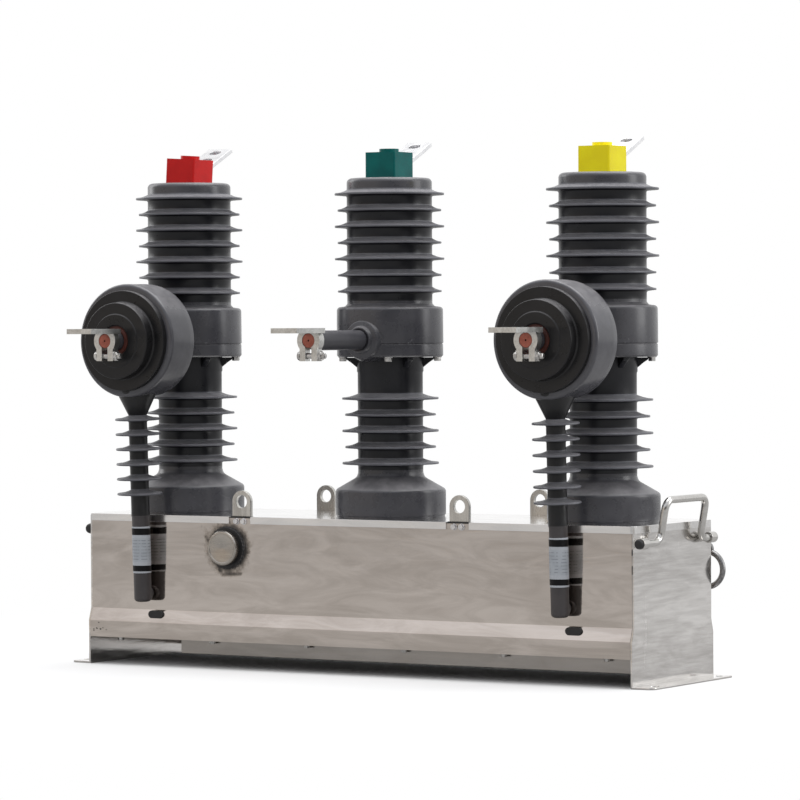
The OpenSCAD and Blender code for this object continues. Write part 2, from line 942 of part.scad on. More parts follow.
lid();
front_panel();
back_panel();
left_end_plate();
right_end_plate();
floor_plate();
bottom_pan();
skirt_bolts();
cable_grommets();
lower_insulator(LEFT);  // lower_insulator_left
lower_insulator(MIDDLE);  // lower_insulator_middle
lower_insulator(RIGHT);  // lower_insulator_right
upper_insulator(LEFT);  // upper_insulator_left
upper_insulator(MIDDLE);  // upper_insulator_middle
upper_insulator(RIGHT);  // upper_insulator_right
phase_cap(LEFT, "red");  // phase_cap_red
phase_cap(MIDDLE, "green");  // phase_cap_green
phase_cap(RIGHT, "gold");  // phase_cap_yellow
top_terminal(LEFT);  // top_terminal_left
top_terminal(MIDDLE);  // top_terminal_middle
top_terminal(RIGHT);  // top_terminal_right
rod_sleeve(LEFT);  // rod_sleeve_left
rod_sleeve(MIDDLE);  // rod_sleeve_middle
rod_sleeve(RIGHT);  // rod_sleeve_right
outlet_rod(LEFT);  // outlet_rod_left
outlet_rod(MIDDLE);  // outlet_rod_middle
outlet_rod(RIGHT);  // outlet_rod_right
terminal_clamp(LEFT);  // terminal_clamp_left
terminal_clamp(MIDDLE);  // terminal_clamp_middle
terminal_clamp(RIGHT);  // terminal_clamp_right
clamp_bolts();
current_transformer(LEFT);  // current_transformer_left
current_transformer(RIGHT);  // current_transformer_right
transformer_arm(LEFT);  // transformer_arm_left
transformer_arm(RIGHT);  // transformer_arm_right
arm_labels();
lifting_lug(-lug_x, FRONT);  // lifting_lug_front_left
lifting_lug(lug_x, FRONT);  // lifting_lug_front_right
lifting_lug(-lug_x, BACK);  // lifting_lug_back_left
lifting_lug(lug_x, BACK);  // lifting_lug_back_right
lug_bolts();
plug_ring();
plug_cap();
handle_bosses();
carrying_handle_left();
carrying_handle_right();
lever_pivot();
trip_lever();
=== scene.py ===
import json
import math
import random
import bmesh
import bpy
from mathutils import Matrix, Vector


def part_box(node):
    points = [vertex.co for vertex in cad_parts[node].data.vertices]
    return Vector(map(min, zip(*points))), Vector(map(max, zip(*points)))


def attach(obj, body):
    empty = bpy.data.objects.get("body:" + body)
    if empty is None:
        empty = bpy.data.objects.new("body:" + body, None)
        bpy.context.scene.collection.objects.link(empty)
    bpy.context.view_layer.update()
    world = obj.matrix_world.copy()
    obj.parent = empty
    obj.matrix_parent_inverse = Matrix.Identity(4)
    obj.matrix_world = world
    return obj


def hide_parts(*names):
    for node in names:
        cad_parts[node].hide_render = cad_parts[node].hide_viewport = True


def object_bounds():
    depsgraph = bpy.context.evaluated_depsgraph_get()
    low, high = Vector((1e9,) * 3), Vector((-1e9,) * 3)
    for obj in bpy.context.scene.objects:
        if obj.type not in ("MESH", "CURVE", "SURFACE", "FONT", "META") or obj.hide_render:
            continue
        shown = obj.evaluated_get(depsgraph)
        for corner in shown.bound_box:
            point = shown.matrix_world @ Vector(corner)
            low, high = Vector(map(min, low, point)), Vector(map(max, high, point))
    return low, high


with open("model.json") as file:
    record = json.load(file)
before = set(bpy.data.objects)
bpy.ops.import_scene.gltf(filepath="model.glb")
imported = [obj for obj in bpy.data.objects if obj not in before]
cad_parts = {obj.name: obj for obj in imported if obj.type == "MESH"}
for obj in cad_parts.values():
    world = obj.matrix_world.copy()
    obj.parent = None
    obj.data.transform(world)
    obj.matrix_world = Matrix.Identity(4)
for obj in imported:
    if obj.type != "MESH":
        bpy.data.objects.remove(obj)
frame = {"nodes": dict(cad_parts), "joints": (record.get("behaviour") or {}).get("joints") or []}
CAD_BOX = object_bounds()
NODES = frame["nodes"]
RND = random.Random(7)
MM = 0.001
SIDES = ("left", "middle", "right")


def box(name):
    lo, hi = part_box(name)
    return lo * 1000, hi * 1000


def mid(name):
    lo, hi = box(name)
    return (lo + hi) / 2


# ---------------------------------------------------------------- node helpers
def lin(r, g, b):
    """A colour written as 0-255 screen values, in the linear values that Blender's sockets take."""
    out = []
    for v in (r, g, b):
        v = v / 255
        out.append(v / 12.92 if v <= 0.04045 else ((v + 0.055) / 1.055) ** 2.4)
    return (out[0], out[1], out[2], 1.0)


class Net:
    """Short names for adding nodes to one node tree. A value may be a number, a colour or a socket."""

    def __init__(self, tree):
        self.t = tree
        self.t.nodes.clear()

    def put(self, socket, value):
        if value is None:
            return
        if isinstance(value, bpy.types.NodeSocket):
            self.t.links.new(value, socket)
        else:
            socket.default_value = value

    def add(self, kind, **kw):
        n = self.t.nodes.new(kind)
        for k, v in kw.items():
            self.put(n.inputs[k], v)
        return n

    def math(self, op, a, b=None, clamp=False):
        n = self.t.nodes.new("ShaderNodeMath")
        n.operation = op
        n.use_clamp = clamp
        self.put(n.inputs[0], a)
        self.put(n.inputs[1], b)
        return n.outputs[0]

    def vmath(self, op, a, b=None):
        n = self.t.nodes.new("ShaderNodeVectorMath")
        n.operation = op
        self.put(n.inputs[0], a)
        self.put(n.inputs[1], b)
        return n.outputs["Value"] if op in ("LENGTH", "DOT_PRODUCT", "DISTANCE") else n.outputs[0]

    def ramp(self, v, lo, hi, a=0.0, b=1.0, smooth=True):
        n = self.t.nodes.new("ShaderNodeMapRange")
        n.interpolation_type = "SMOOTHSTEP" if smooth else "LINEAR"
        for i, x in enumerate((v, lo, hi, a, b)):
            self.put(n.inputs[i], x)
        return n.outputs[0]

    def mix(self, f, a, b, kind="MIX"):
        n = self.t.nodes.new("ShaderNodeMix")
        n.data_type = "RGBA"
        n.blend_type = kind
        self.put(n.inputs[0], f)
        self.put(n.inputs[6], a)
        self.put(n.inputs[7], b)
        return n.outputs[2]

    def noise(self, vec, scale, detail=3.0, rough=0.5, distort=0.0):
        n = self.add("ShaderNodeTexNoise", Vector=vec, Scale=scale, Detail=detail, Roughness=rough,
                     Distortion=distort)
        return n.outputs[0]

    def voronoi(self, vec, scale):
        return self.add("ShaderNodeTexVoronoi", Vector=vec, Scale=scale).outputs[0]

    def scaled(self, vec, s, rot=(0, 0, 0)):
        n = self.t.nodes.new("ShaderNodeMapping")
        self.put(n.inputs["Vector"], vec)
        n.inputs["Rotation"].default_value = rot
        n.inputs["Scale"].default_value = s
        return n.outputs[0]

    def split(self, vec):
        n = self.t.nodes.new("ShaderNodeSeparateXYZ")
        self.put(n.inputs[0], vec)
        return n.outputs[0], n.outputs[1], n.outputs[2]

    def bump(self, height, strength, distance, normal=None):
        n = self.t.nodes.new("ShaderNodeBump")
        n.inputs["Strength"].default_value = strength
        n.inputs["Distance"].default_value = distance
        self.put(n.inputs["Height"], height)
        self.put(n.inputs["Normal"], normal)
        return n.outputs[0]


def material(name, **fixed):
    """A new material: itself, its Net, its Principled shader and the object coordinates."""
    m = bpy.data.materials.new(name)
    m.use_nodes = True
    g = Net(m.node_tree)
    out = g.t.nodes.new("ShaderNodeOutputMaterial")
    bs = g.t.nodes.new("ShaderNodeBsdfPrincipled")
    g.t.links.new(bs.outputs[0], out.inputs[0])
    for k, v in fixed.items():
        bs.inputs[k.replace("_", " ")].default_value = v
    co = g.t.nodes.new("ShaderNodeTexCoord").outputs["Object"]
    return m, g, bs, co


# ---------------------------------------------------------------- materials
def near_line(g, x, z, a, b):
    """Distance in metres from a line between two (x, z) points in millimetres."""
    ux, uz = (b[0] - a[0]) * MM, (b[1] - a[1]) * MM
    length = ux * ux + uz * uz
    px = g.math("SUBTRACT", x, a[0] * MM)
    pz = g.math("SUBTRACT", z, a[1] * MM)
    along = g.math("ADD", g.math("MULTIPLY", px, ux), g.math("MULTIPLY", pz, uz))
    t = g.math("DIVIDE", along, length, clamp=True)
    qx = g.math("SUBTRACT", px, g.math("MULTIPLY", t, ux))
    qz = g.math("SUBTRACT", pz, g.math("MULTIPLY", t, uz))
    return g.math("SQRT", g.math("ADD", g.math("MULTIPLY", qx, qx), g.math("MULTIPLY", qz, qz)))


def dark_reflection_mask(g, co, centre, r_in, r_out):
    """Ragged round patch about an axis that runs front to back, for a painted dark reflection."""
    d = g.vmath("DISTANCE", g.vmath("MULTIPLY", co, (1, 0, 1)), centre)
    ragged = g.math("SUBTRACT", g.noise(co, 130, 4, 0.7), 0.5)
    d = g.math("ADD", d, g.math("MULTIPLY", ragged, r_out * 0.45))
    return g.ramp(d, r_in, r_out, 1.0, 0.0)


def speck_mask(g, co, x0, x1, z0, z1):
    """Small dark spots inside an upright rectangle."""
    x, _, z = g.split(co)
    in_x = g.math("MULTIPLY", g.ramp(x, x0, x0 + 0.004), g.ramp(x, x1 - 0.012, x1, 1, 0))
    in_z = g.math("MULTIPLY", g.ramp(z, z0, z0 + 0.002), g.ramp(z, z1 - 0.002, z1, 1, 0))
    spot = g.ramp(g.voronoi(g.scaled(co, (1, 1, 1.4)), 165), 0.22, 0.30, 1, 0)
    return g.math("MULTIPLY", g.math("MULTIPLY", in_x, in_z), spot)


def crease_mask(g, co, points):
    """Broken, wavering line through (x, z) points in millimetres, along which crease shade is painted."""
    wobble = g.math("MULTIPLY", g.math("SUBTRACT", g.noise(co, 90, 3, 0.6), 0.5), 0.012)
    x, _, z = g.split(co)
    x = g.math("ADD", x, wobble)
    mark = None
    for a, b in zip(points, points[1:]):
        d = near_line(g, x, z, a, b)
        mark = d if mark is None else g.math("MINIMUM", mark, d)
    broken = g.ramp(g.noise(co, 60, 3, 0.6), 0.30, 0.55)
    return g.math("MULTIPLY", g.ramp(mark, 0.0005, 0.0045, 1, 0), broken)


# How a rolled sheet's streaks, hairlines and waves are stretched, by the direction of rolling
STREAKS = {"x": (0.6, 8, 8), "y": (8, 0.6, 8), "z": (8, 8, 0.6)}
HAIRLINES = {"x": (2, 900, 900), "y": (900, 2, 900), "z": (900, 900, 2)}
WAVES = {"x": (7, 7, 30), "y": (7, 7, 30), "z": (30, 30, 7)}
SCRATCH = (0.75, 0.74, 0.72, 1)
DARK_REFLECTION_COLOUR = (0.05, 0.048, 0.045, 1)
SPECK = (0.03, 0.03, 0.03, 1)
CREASE_SHADE_COLOUR = (0.09, 0.085, 0.08, 1)


def steel(name, tint, dark, rough=0.1, wave=0.5, along="x", dark_reflection=None, specks=None, streak=0.3,
          crease=None):
    """Thin bright sheet: soft dents, faint rolling streaks, a few scratches; where asked, a painted dark
    reflection, dark specks and painted crease shade.
    """
    m, g, bs, co = material(name, Metallic=1.0)
    broad = g.noise(g.scaled(co, (1, 1, 1.6)), 4.5, 2, 0.5)
    fine = g.noise(g.scaled(co, STREAKS[along]), 26, 4, 0.6)
    hair = g.noise(g.scaled(co, HAIRLINES[along]), 1.0, 2, 0.6)
    scratch = g.noise(g.scaled(co, (60, 60, 2.5), rot=(0.3, 0.9, 0.2)), 1.0, 5, 0.65)
    scr = g.ramp(scratch, 0.70, 0.735)
    wavy = g.noise(g.scaled(co, WAVES[along]), 1.0, 4, 0.6, 1.4)
    blend = g.math("ADD", g.math("MULTIPLY", broad, 0.15), g.math("MULTIPLY", fine, streak))
    blend = g.math("ADD", blend, g.math("MULTIPLY", wavy, 0.85 - streak))
    colour = g.mix(g.ramp(blend, 0.32, 0.68), dark, tint)
    colour = g.mix(g.math("MULTIPLY", scr, 0.12), colour, SCRATCH)
    rough_v = g.math("ADD", rough, g.math("MULTIPLY", g.ramp(fine, 0.35, 0.75), 0.07))
    rough_v = g.math("ADD", rough_v, g.math("MULTIPLY", scr, 0.15))
    # A painted dark reflection round the plug, also a little rougher
    if dark_reflection:
        ring = dark_reflection_mask(g, co, *dark_reflection)
        colour = g.mix(g.math("MULTIPLY", ring, 0.85), colour, DARK_REFLECTION_COLOUR)
        rough_v = g.math("ADD", rough_v, g.math("MULTIPLY", ring, 0.35))
    if specks:
        colour = g.mix(g.math("MULTIPLY", speck_mask(g, co, *specks), 0.9), colour, SPECK)
    # Painted shade along a crease in the sheet, also a little rougher
    if crease:
        line = crease_mask(g, co, crease)
        colour = g.mix(g.math("MULTIPLY", line, 0.8), colour, CREASE_SHADE_COLOUR)
        rough_v = g.math("ADD", rough_v, g.math("MULTIPLY", line, 0.3))
    g.put(bs.inputs["Base Color"], colour)
    g.put(bs.inputs["Roughness"], rough_v)
    n1 = g.bump(g.math("ADD", broad, g.math("MULTIPLY", wavy, 0.35)), wave, 0.0016)
    lines = g.math("ADD", g.math("MULTIPLY", hair, 0.25), g.math("MULTIPLY", scr, -0.25))
    n2 = g.bump(lines, 0.10, 0.0002, n1)
    g.put(bs.inputs["Normal"], n2)
    return m


# Pale colour for upward resin faces: settled dirt and painted top light
DUST_AND_TOP_LIGHT = lin(150, 148, 150)


def resin(name, base, pale, rough=0.36, dust_and_top_light=0.5, spec=0.5):
    """Cast epoxy: slightly mottled satin skin, paler and rougher on upward faces, partly settled dirt and
    partly painted top light.
    """
    m, g, bs, co = material(name, Specular_IOR_Level=spec)
    mott = g.noise(co, 38, 5, 0.62)
    cloud = g.noise(co, 9, 3, 0.5)
    grain = g.noise(co, 900, 2, 0.5)
    blend = g.math("ADD", g.math("MULTIPLY", mott, 0.5), g.math("MULTIPLY", cloud, 0.5))
    colour = g.mix(g.ramp(blend, 0.35, 0.66), base, pale)
    up = g.split(g.t.nodes.new("ShaderNodeNewGeometry").outputs["Normal"])[2]
    # Upward faces paler: settled dirt, and painted top light as well
    dust_and_top_light_mask = g.math("MULTIPLY", g.ramp(up, 0.35, 0.95), g.ramp(g.noise(co, 60, 5, 0.7), 0.3, 0.7, 0.45, 1.0))
    colour = g.mix(g.math("MULTIPLY", dust_and_top_light_mask, dust_and_top_light), colour, DUST_AND_TOP_LIGHT)
    g.put(bs.inputs["Base Color"], colour)
    r = g.math("ADD", rough, g.math("MULTIPLY", g.math("SUBTRACT", mott, 0.5), 0.22))
    r = g.math("ADD", r, g.math("MULTIPLY", dust_and_top_light_mask, 0.25))
    g.put(bs.inputs["Roughness"], r)
    n1 = g.bump(cloud, 0.25, 0.0012)
    n2 = g.bump(g.math("ADD", g.math("MULTIPLY", grain, 0.4), mott), 0.16, 0.0003, n1)
    g.put(bs.inputs["Normal"], n2)
    return m


def cast_metal(name, tint, dark, rough, bump):
    """Plated, tinned or plain metal with a cloudy tone and a fine grain."""
    m, g, bs, co = material(name, Metallic=1.0)
    a = g.noise(co, 55, 5, 0.65)
    b = g.noise(co, 420, 3, 0.6)
    blend = g.math("ADD", g.math("MULTIPLY", a, 0.6), g.math("MULTIPLY", b, 0.4))
    colour = g.mix(g.ramp(blend, 0.36, 0.62), dark, tint)
    g.put(bs.inputs["Base Color"], colour)
    g.put(bs.inputs["Roughness"], g.math("ADD", rough, g.math("MULTIPLY", g.math("SUBTRACT", a, 0.5), 0.3)))
    g.put(bs.inputs["Normal"], g.bump(g.math("ADD", a, g.math("MULTIPLY", b, 0.5)), bump, 0.0004))
    return m


def plastic(name, base, shade):
    """Dip-moulded cap: glossy, a little cloudy, faint sink marks."""
    m, g, bs, co = material(name, Specular_IOR_Level=0.16)
    a = g.noise(co, 26, 4, 0.55)
    b = g.noise(co, 700, 2, 0.5)
    g.put(bs.inputs["Base Color"], g.mix(g.ramp(a, 0.3, 0.7), shade, base))
    g.put(bs.inputs["Roughness"], g.ramp(b, 0.3, 0.7, 0.28, 0.40))
    g.put(bs.inputs["Normal"], g.bump(g.math("ADD", a, g.math("MULTIPLY", b, 0.12)), 0.25, 0.0009))
    return m


def copper_rod(name, cx, cz):
    """Turned bar end: rings about the rod's own axis, a drilled centre with painted shade in it."""
    m, g, bs, co = material(name, Metallic=1.0)
    x, _, z = g.split(co)
    dx = g.math("SUBTRACT", x, cx * MM)
    dz = g.math("SUBTRACT", z, cz * MM)
    d = g.math("SQRT", g.math("ADD", g.math("MULTIPLY", dx, dx), g.math("MULTIPLY", dz, dz)))
    rings = g.math("SINE", g.math("MULTIPLY", d, 9000.0))
    a = g.noise(co, 90, 5, 0.65)
    tone = g.math("ADD", g.math("MULTIPLY", rings, 0.12), a)
    colour = g.mix(g.ramp(tone, 0.25, 0.75), (0.26, 0.085, 0.065, 1), (0.50, 0.18, 0.135, 1))
    # Near black in the drilled centre: painted shade
    colour = g.mix(g.ramp(d, 0.0008, 0.0016, 1, 0), colour, (0.03, 0.012, 0.01, 1))
    g.put(bs.inputs["Base Color"], colour)
    g.put(bs.inputs["Roughness"], g.ramp(a, 0.3, 0.7, 0.28, 0.5))
    g.put(bs.inputs["Normal"], g.bump(g.math("ADD", g.math("MULTIPLY", rings, 0.5), a), 0.25, 0.0002))
    return m


def label_foil(name, z0, z1):
    """Foil label: dark head and foot bands with pale borders, plain ruled lines between."""
    m, g, bs, co = material(name, Specular_IOR_Level=0.2)
    h = g.ramp(g.split(co)[2], z0 * MM, z1 * MM, 0, 1, smooth=False)

    soft = 0.006

    def band(a, b):
        return g.math("MULTIPLY", g.ramp(h, a, a + soft), g.ramp(h, b - soft, b, 1, 0))

    in_row = g.math("FRACT", g.math("MULTIPLY", h, 15.0))
    rule = g.ramp(g.math("ABSOLUTE", g.math("SUBTRACT", in_row, 0.5)), 0.06, 0.12, 1, 0)
    dash = g.ramp(g.noise(g.scaled(co, (260, 260, 30)), 1.0, 2, 0.6), 0.44, 0.52)
    body = band(0.24, 0.76)
    black = (0.004, 0.004, 0.005, 1)
    printed = g.math("MULTIPLY", g.math("MULTIPLY", rule, dash), 0.75)
    field = g.mix(printed, lin(176, 181, 187), lin(92, 94, 100))
    field = g.mix(g.ramp(g.noise(co, 70, 4, 0.6), 0.3, 0.7, 0.0, 0.35), field, lin(140, 146, 154))
    colour = g.mix(body, lin(180, 184, 190), field)
    colour = g.mix(band(0.035, 0.165), colour, black)
    colour = g.mix(band(0.815, 0.965), colour, black)
    g.put(bs.inputs["Base Color"], colour)
    g.put(bs.inputs["Roughness"], g.ramp(g.noise(co, 120, 3, 0.5), 0.3, 0.7, 0.26, 0.42))
    g.put(bs.inputs["Normal"], g.bump(g.noise(co, 160, 3, 0.5), 0.12, 0.0003))
    return m


STEEL = (0.68, 0.615, 0.56, 1)
STEEL_DARK = (0.52, 0.465, 0.415, 1)
plug_c = mid("plug_ring")
plug_lo, plug_hi = box("plug_ring")
PLUG_R = (plug_hi.x - plug_lo.x) / 2
panel_left = box("front_panel")[0].x

# Marks on the front sheet, placed from the plug and from the panel's left end: a painted dark reflection
# round the plug, painted shade along a crease, specks on the skirt
PLUG_DARK_REFLECTION = ((plug_c.x * MM, 0, plug_c.z * MM), (PLUG_R - 1.5) * MM, (PLUG_R + 12) * MM)
PLUG_CREASE = [(plug_c.x + dx, plug_c.z + dz) for dx, dz in ((-42, 28), (-10, -38), (20, -36))]
SKIRT_SPECKS = (panel_left * MM, (panel_left + 34) * MM, 0.046, 0.061)

M = {}
M["front"] = steel("front_sheet", STEEL, STEEL_DARK, rough=0.055, wave=0.30, streak=0.10,
                   dark_reflection=PLUG_DARK_REFLECTION, specks=SKIRT_SPECKS, crease=PLUG_CREASE)
M["back"] = steel("back_sheet", STEEL, STEEL_DARK, rough=0.07, wave=0.25)
# Lit and shaded copies of the same stainless sheet: end plates and lid paler, painted light and highlight;
# bottom pan darker, painted shade
M["end"] = steel("end_sheet_painted_light", (0.86, 0.84, 0.82, 1), (0.60, 0.58, 0.56, 1), rough=0.11, wave=0.40,
                 along="y",
                 streak=0.35)
M["lid"] = steel("lid_sheet_painted_highlight", (0.90, 0.89, 0.88, 1), (0.78, 0.77, 0.76, 1), rough=0.14, wave=0.12,
                 streak=0.1)
M["pan"] = steel("pan_sheet_painted_shade", (0.42, 0.40, 0.38, 1), (0.33, 0.31, 0.29, 1), rough=0.2, wave=0.35)
M["bar"] = steel("bar_steel", (0.62, 0.61, 0.59, 1), (0.50, 0.49, 0.47, 1), rough=0.16, wave=0.1,
                 streak=0.5)
M["lug"] = steel("lug_steel", (0.66, 0.65, 0.62, 1), (0.44, 0.43, 0.41, 1), rough=0.25, wave=0.1, along="z")
M["plug"] = steel("plug_steel", (0.47, 0.44, 0.40, 1), (0.35, 0.325, 0.30, 1), rough=0.24, wave=0.05,
                  streak=0.1)
M["zinc"] = cast_metal("zinc_plate", (0.66, 0.65, 0.63, 1), (0.42, 0.41, 0.40, 1), rough=0.28, bump=0.12)
M["bright"] = cast_metal("bright_nut", (0.86, 0.86, 0.87, 1), (0.62, 0.62, 0.64, 1), rough=0.2, bump=0.1)
M["dark"] = cast_metal("dark_steel", (0.14, 0.14, 0.145, 1), (0.06, 0.06, 0.063, 1), rough=0.42, bump=0.3)
M["lever"] = cast_metal("lever_steel", (0.36, 0.355, 0.35, 1), (0.16, 0.16, 0.165, 1), rough=0.3, bump=0.2)
M["tin"] = cast_metal("tinned_cast", (0.70, 0.70, 0.68, 1), (0.50, 0.50, 0.48, 1), rough=0.33, bump=0.3)
M["plate"] = cast_metal("tinned_plate", (0.86, 0.86, 0.87, 1), (0.70, 0.70, 0.72, 1), rough=0.27, bump=0.12)
# A darker copy of the pole resin for the core and shed undersides: painted shade
M["pole"] = resin("pole_resin_painted_shade", (0.0075, 0.008, 0.0105, 1), (0.014, 0.0145, 0.018, 1), rough=0.31,
                  dust_and_top_light=0.5, spec=0.32)
M["foot"] = resin("foot_resin", (0.046, 0.046, 0.053, 1), (0.062, 0.062, 0.070, 1), rough=0.28,
                  dust_and_top_light=0.55, spec=0.55)
M["sleeve"] = resin("sleeve_resin", (0.040, 0.040, 0.048, 1), (0.060, 0.060, 0.068, 1), rough=0.40,
                    dust_and_top_light=0.25)
# The ring's resin in two copies: the face darker as painted shade, the side paler and strongly paled
# upwards as painted light
M["ring"] = resin("ring_face_painted_shade_resin", (0.009, 0.009, 0.0095, 1), (0.016, 0.0155, 0.0165, 1), rough=0.30,
                  dust_and_top_light=0.6, spec=0.32)
M["ring_side"] = resin("ring_side_painted_light_resin", (0.055, 0.055, 0.063, 1), (0.085, 0.085, 0.096, 1), rough=0.22,
                       dust_and_top_light=0.75,
                       spec=0.6)
# A paler copy of the resin for shed rims and upper faces: painted top light
M["top"] = resin("shed_top_painted_light_resin", (0.085, 0.086, 0.100, 1), (0.130, 0.132, 0.148, 1), rough=0.34, dust_and_top_light=0.5)
M["arm"] = resin("arm_resin", (0.046, 0.041, 0.043, 1), (0.062, 0.056, 0.057, 1), rough=0.38, dust_and_top_light=0.3)
# A darker copy of the arm resin for its neck, shed undersides and funnel: painted shade
M["shed"] = resin("arm_shed_painted_shade_resin", (0.011, 0.011, 0.012, 1), (0.020, 0.020, 0.021, 1), rough=0.34,
                  dust_and_top_light=0.3,
                  spec=0.35)
M["seal"] = resin("seal_rubber", (0.018, 0.009, 0.008, 1), (0.110, 0.026, 0.016, 1), rough=0.5, dust_and_top_light=0.05)
M["rubber"] = resin("black_rubber", (0.010, 0.010, 0.011, 1), (0.020, 0.020, 0.021, 1), rough=0.5,
                    dust_and_top_light=0.15)
M["red"] = plastic("cap_red", (0.58, 0.013, 0.012, 1), (0.46, 0.010, 0.010, 1))
M["green"] = plastic("cap_green", (0.0004, 0.120, 0.110, 1), (0.0004, 0.080, 0.078, 1))
M["yellow"] = plastic("cap_yellow", (0.86, 0.76, 0.010, 1), (0.78, 0.66, 0.008, 1))
M["weld"] = cast_metal("weld_bead", (0.16, 0.15, 0.14, 1), (0.05, 0.05, 0.055, 1), rough=0.4, bump=0.5)


# ---------------------------------------------------------------- mesh helpers
def fillet(points, seg=5):
    """Points are (r, h) or (r, h, radius); the corner is rounded by that radius."""
    out = []
    for i, p in enumerate(points):
        q = Vector((p[0], p[1]))
        rad = p[2] if len(p) > 2 else 0
        if rad <= 0 or i in (0, len(points) - 1):
            out.append((q.x, q.y))
            continue
        a = Vector(points[i - 1][:2]) - q
        b = Vector(points[i + 1][:2]) - q
        la, lb = a.length, b.length
        a.normalize()
        b.normalize()
        ang = a.angle(b)
        if ang > math.pi - 0.02:
            out.append((q.x, q.y))
            continue
        d = min(rad / math.tan(ang / 2), la * 0.49, lb * 0.49)
        rr = d * math.tan(ang / 2)
        c = q + (a + b).normalized() * (rr / math.sin(ang / 2))
        u, v = (q + a * d) - c, (q + b * d) - c
        turn = u.angle_signed(v)
        for k in range(seg + 1):
            t = -turn * k / seg
            co, si = math.cos(t), math.sin(t)
            out.append((c.x + u.x * co - u.y * si, c.y + u.x * si + u.y * co))
    return out


class Shape:
    """Vertices in millimetres and faces with a material index."""

    def __init__(self):
        self.v, self.f, self.m = [], [], []

    def face(self, ids, mat=0):
        self.f.append(tuple(ids))
        self.m.append(mat)

    def lathe(self, prof, origin, axis, segs, mat=0, mats=None):
        """Turn (radius, height) points about z, f (towards the front) or b (towards the back)."""
        rings = []
        for r, h in prof:
            ring = []
            n = 1 if r < 1e-6 else segs
            for k in range(n):
                t = 2 * math.pi * k / segs
                a, b = r * math.cos(t), r * math.sin(t)
                if axis == "z":
                    p = (origin[0] + a, origin[1] + b, origin[2] + h)
                elif axis == "f":
                    p = (origin[0] + a, origin[1] - h, origin[2] + b)
                else:
                    p = (origin[0] - a, origin[1] + h, origin[2] + b)
                ring.append(len(self.v))
                self.v.append(p)
            rings.append(ring)
        for i in range(len(rings) - 1):
            p, q = rings[i], rings[i + 1]
            mi = mats[i] if mats else mat
            for k in range(segs):
                j = (k + 1) % segs
                if len(p) == 1 and len(q) == 1:
                    continue
                if len(p) == 1:
                    self.face((p[0], q[k], q[j])[::-1], mi)
                elif len(q) == 1:
                    self.face((p[k], p[j], q[0]), mi)
                else:
                    self.face((p[k], p[j], q[j], q[k]), mi)

    def close_loops(self, rings):
        """Faces between equal rings of points, and one face over each end."""
        for a, b in zip(rings, rings[1:]):
            for k in range(len(a)):
                j = (k + 1) % len(a)
                self.face((a[k], a[j], b[j], b[k]))
        self.face(rings[0][::-1])
        self.face(rings[-1])

    def tube(self, pts, r, segs, cap_round):
        """Round bar along a polyline of close points, with softened ends."""
        pts = [Vector(p) for p in pts]
        tang = []
        for i in range(len(pts)):
            a = pts[max(0, i - 1)]
            b = pts[min(len(pts) - 1, i + 1)]
            tang.append((b - a).normalized())
        up = Vector((1, 0, 0)) if abs(tang[0].x) < 0.9 else Vector((0, 0, 1))
        n = (up - tang[0] * up.dot(tang[0])).normalized()
        rings = []
        stations = [(pts[0], tang[0], r - cap_round)]
        stations += [(pts[0] + tang[0] * cap_round * 0.3, tang[0], r - cap_round * 0.3)]
        stations += [(pts[0] + tang[0] * cap_round, tang[0], r)]
        stations += [(p, t, r) for p, t in zip(pts[1:-1], tang[1:-1])]
        stations += [(pts[-1] - tang[-1] * cap_round, tang[-1], r)]
        stations += [(pts[-1] - tang[-1] * cap_round * 0.3, tang[-1], r - cap_round * 0.3)]
        stations += [(pts[-1], tang[-1], r - cap_round)]
        for p, t, rr in stations:
            n = (n - t * n.dot(t)).normalized()
            b = t.cross(n)
            ring = []
            for k in range(segs):
                a = 2 * math.pi * k / segs
                q = p + n * (rr * math.cos(a)) + b * (rr * math.sin(a))
                ring.append(len(self.v))
                self.v.append(tuple(q))
            rings.append(ring)
        self.close_loops(rings)

    def block(self, lo, hi):
        x0, y0, z0 = lo
        x1, y1, z1 = hi
        i = len(self.v)
        self.v += [(x0, y0, z0), (x1, y0, z0), (x1, y1, z0), (x0, y1, z0),
                   (x0, y0, z1), (x1, y0, z1), (x1, y1, z1), (x0, y1, z1)]
        for f in ((0, 3, 2, 1), (4, 5, 6, 7), (0, 1, 5, 4), (1, 2, 6, 5), (2, 3, 7, 6), (3, 0, 4, 7)):
            self.face([i + k for k in f])

    def hexagon(self, centre, axis, r, h, turn=0.0):
        """Hex head that stands h high along the axis, its corners chamfered at the top."""
        points, straight, top_r = 24, 0.808, 0.86
        ax = Vector(axis).normalized()
        u = ax.orthogonal().normalized()
        w = ax.cross(u)
        c = Vector(centre)
        rings = []
        for d, rr, six_sided in ((0, r, True), (h * straight, r, True), (h, r * top_r, False)):
            ring = []
            for k in range(points):
                a = 2 * math.pi * k / points + turn
                s = math.cos(math.pi / 6) / math.cos(((a - turn) % (math.pi / 3)) - math.pi / 6)
                rad = rr * s if six_sided else min(rr, r * s)
                q = c + ax * d + u * (rad * math.cos(a)) + w * (rad * math.sin(a))
                ring.append(len(self.v))
                self.v.append(tuple(q))
            rings.append(ring)
        self.close_loops(rings)

    def disc(self, centre, axis, r, h):
        """Washer without its hole, h thick along the axis, with a softened rim."""
        segs, edge = 40, 0.4
        ax = Vector(axis).normalized()
        u = ax.orthogonal().normalized()
        w = ax.cross(u)
        c = Vector(centre)
        rings = []
        for d, rr in ((0, r), (h - edge, r), (h - edge * 0.3, r - edge * 0.3), (h, r - edge)):
            ring = []
            for k in range(segs):
                a = 2 * math.pi * k / segs
                ring.append(len(self.v))
                self.v.append(tuple(c + ax * d + u * (rr * math.cos(a)) + w * (rr * math.sin(a))))
            rings.append(ring)
        self.close_loops(rings)

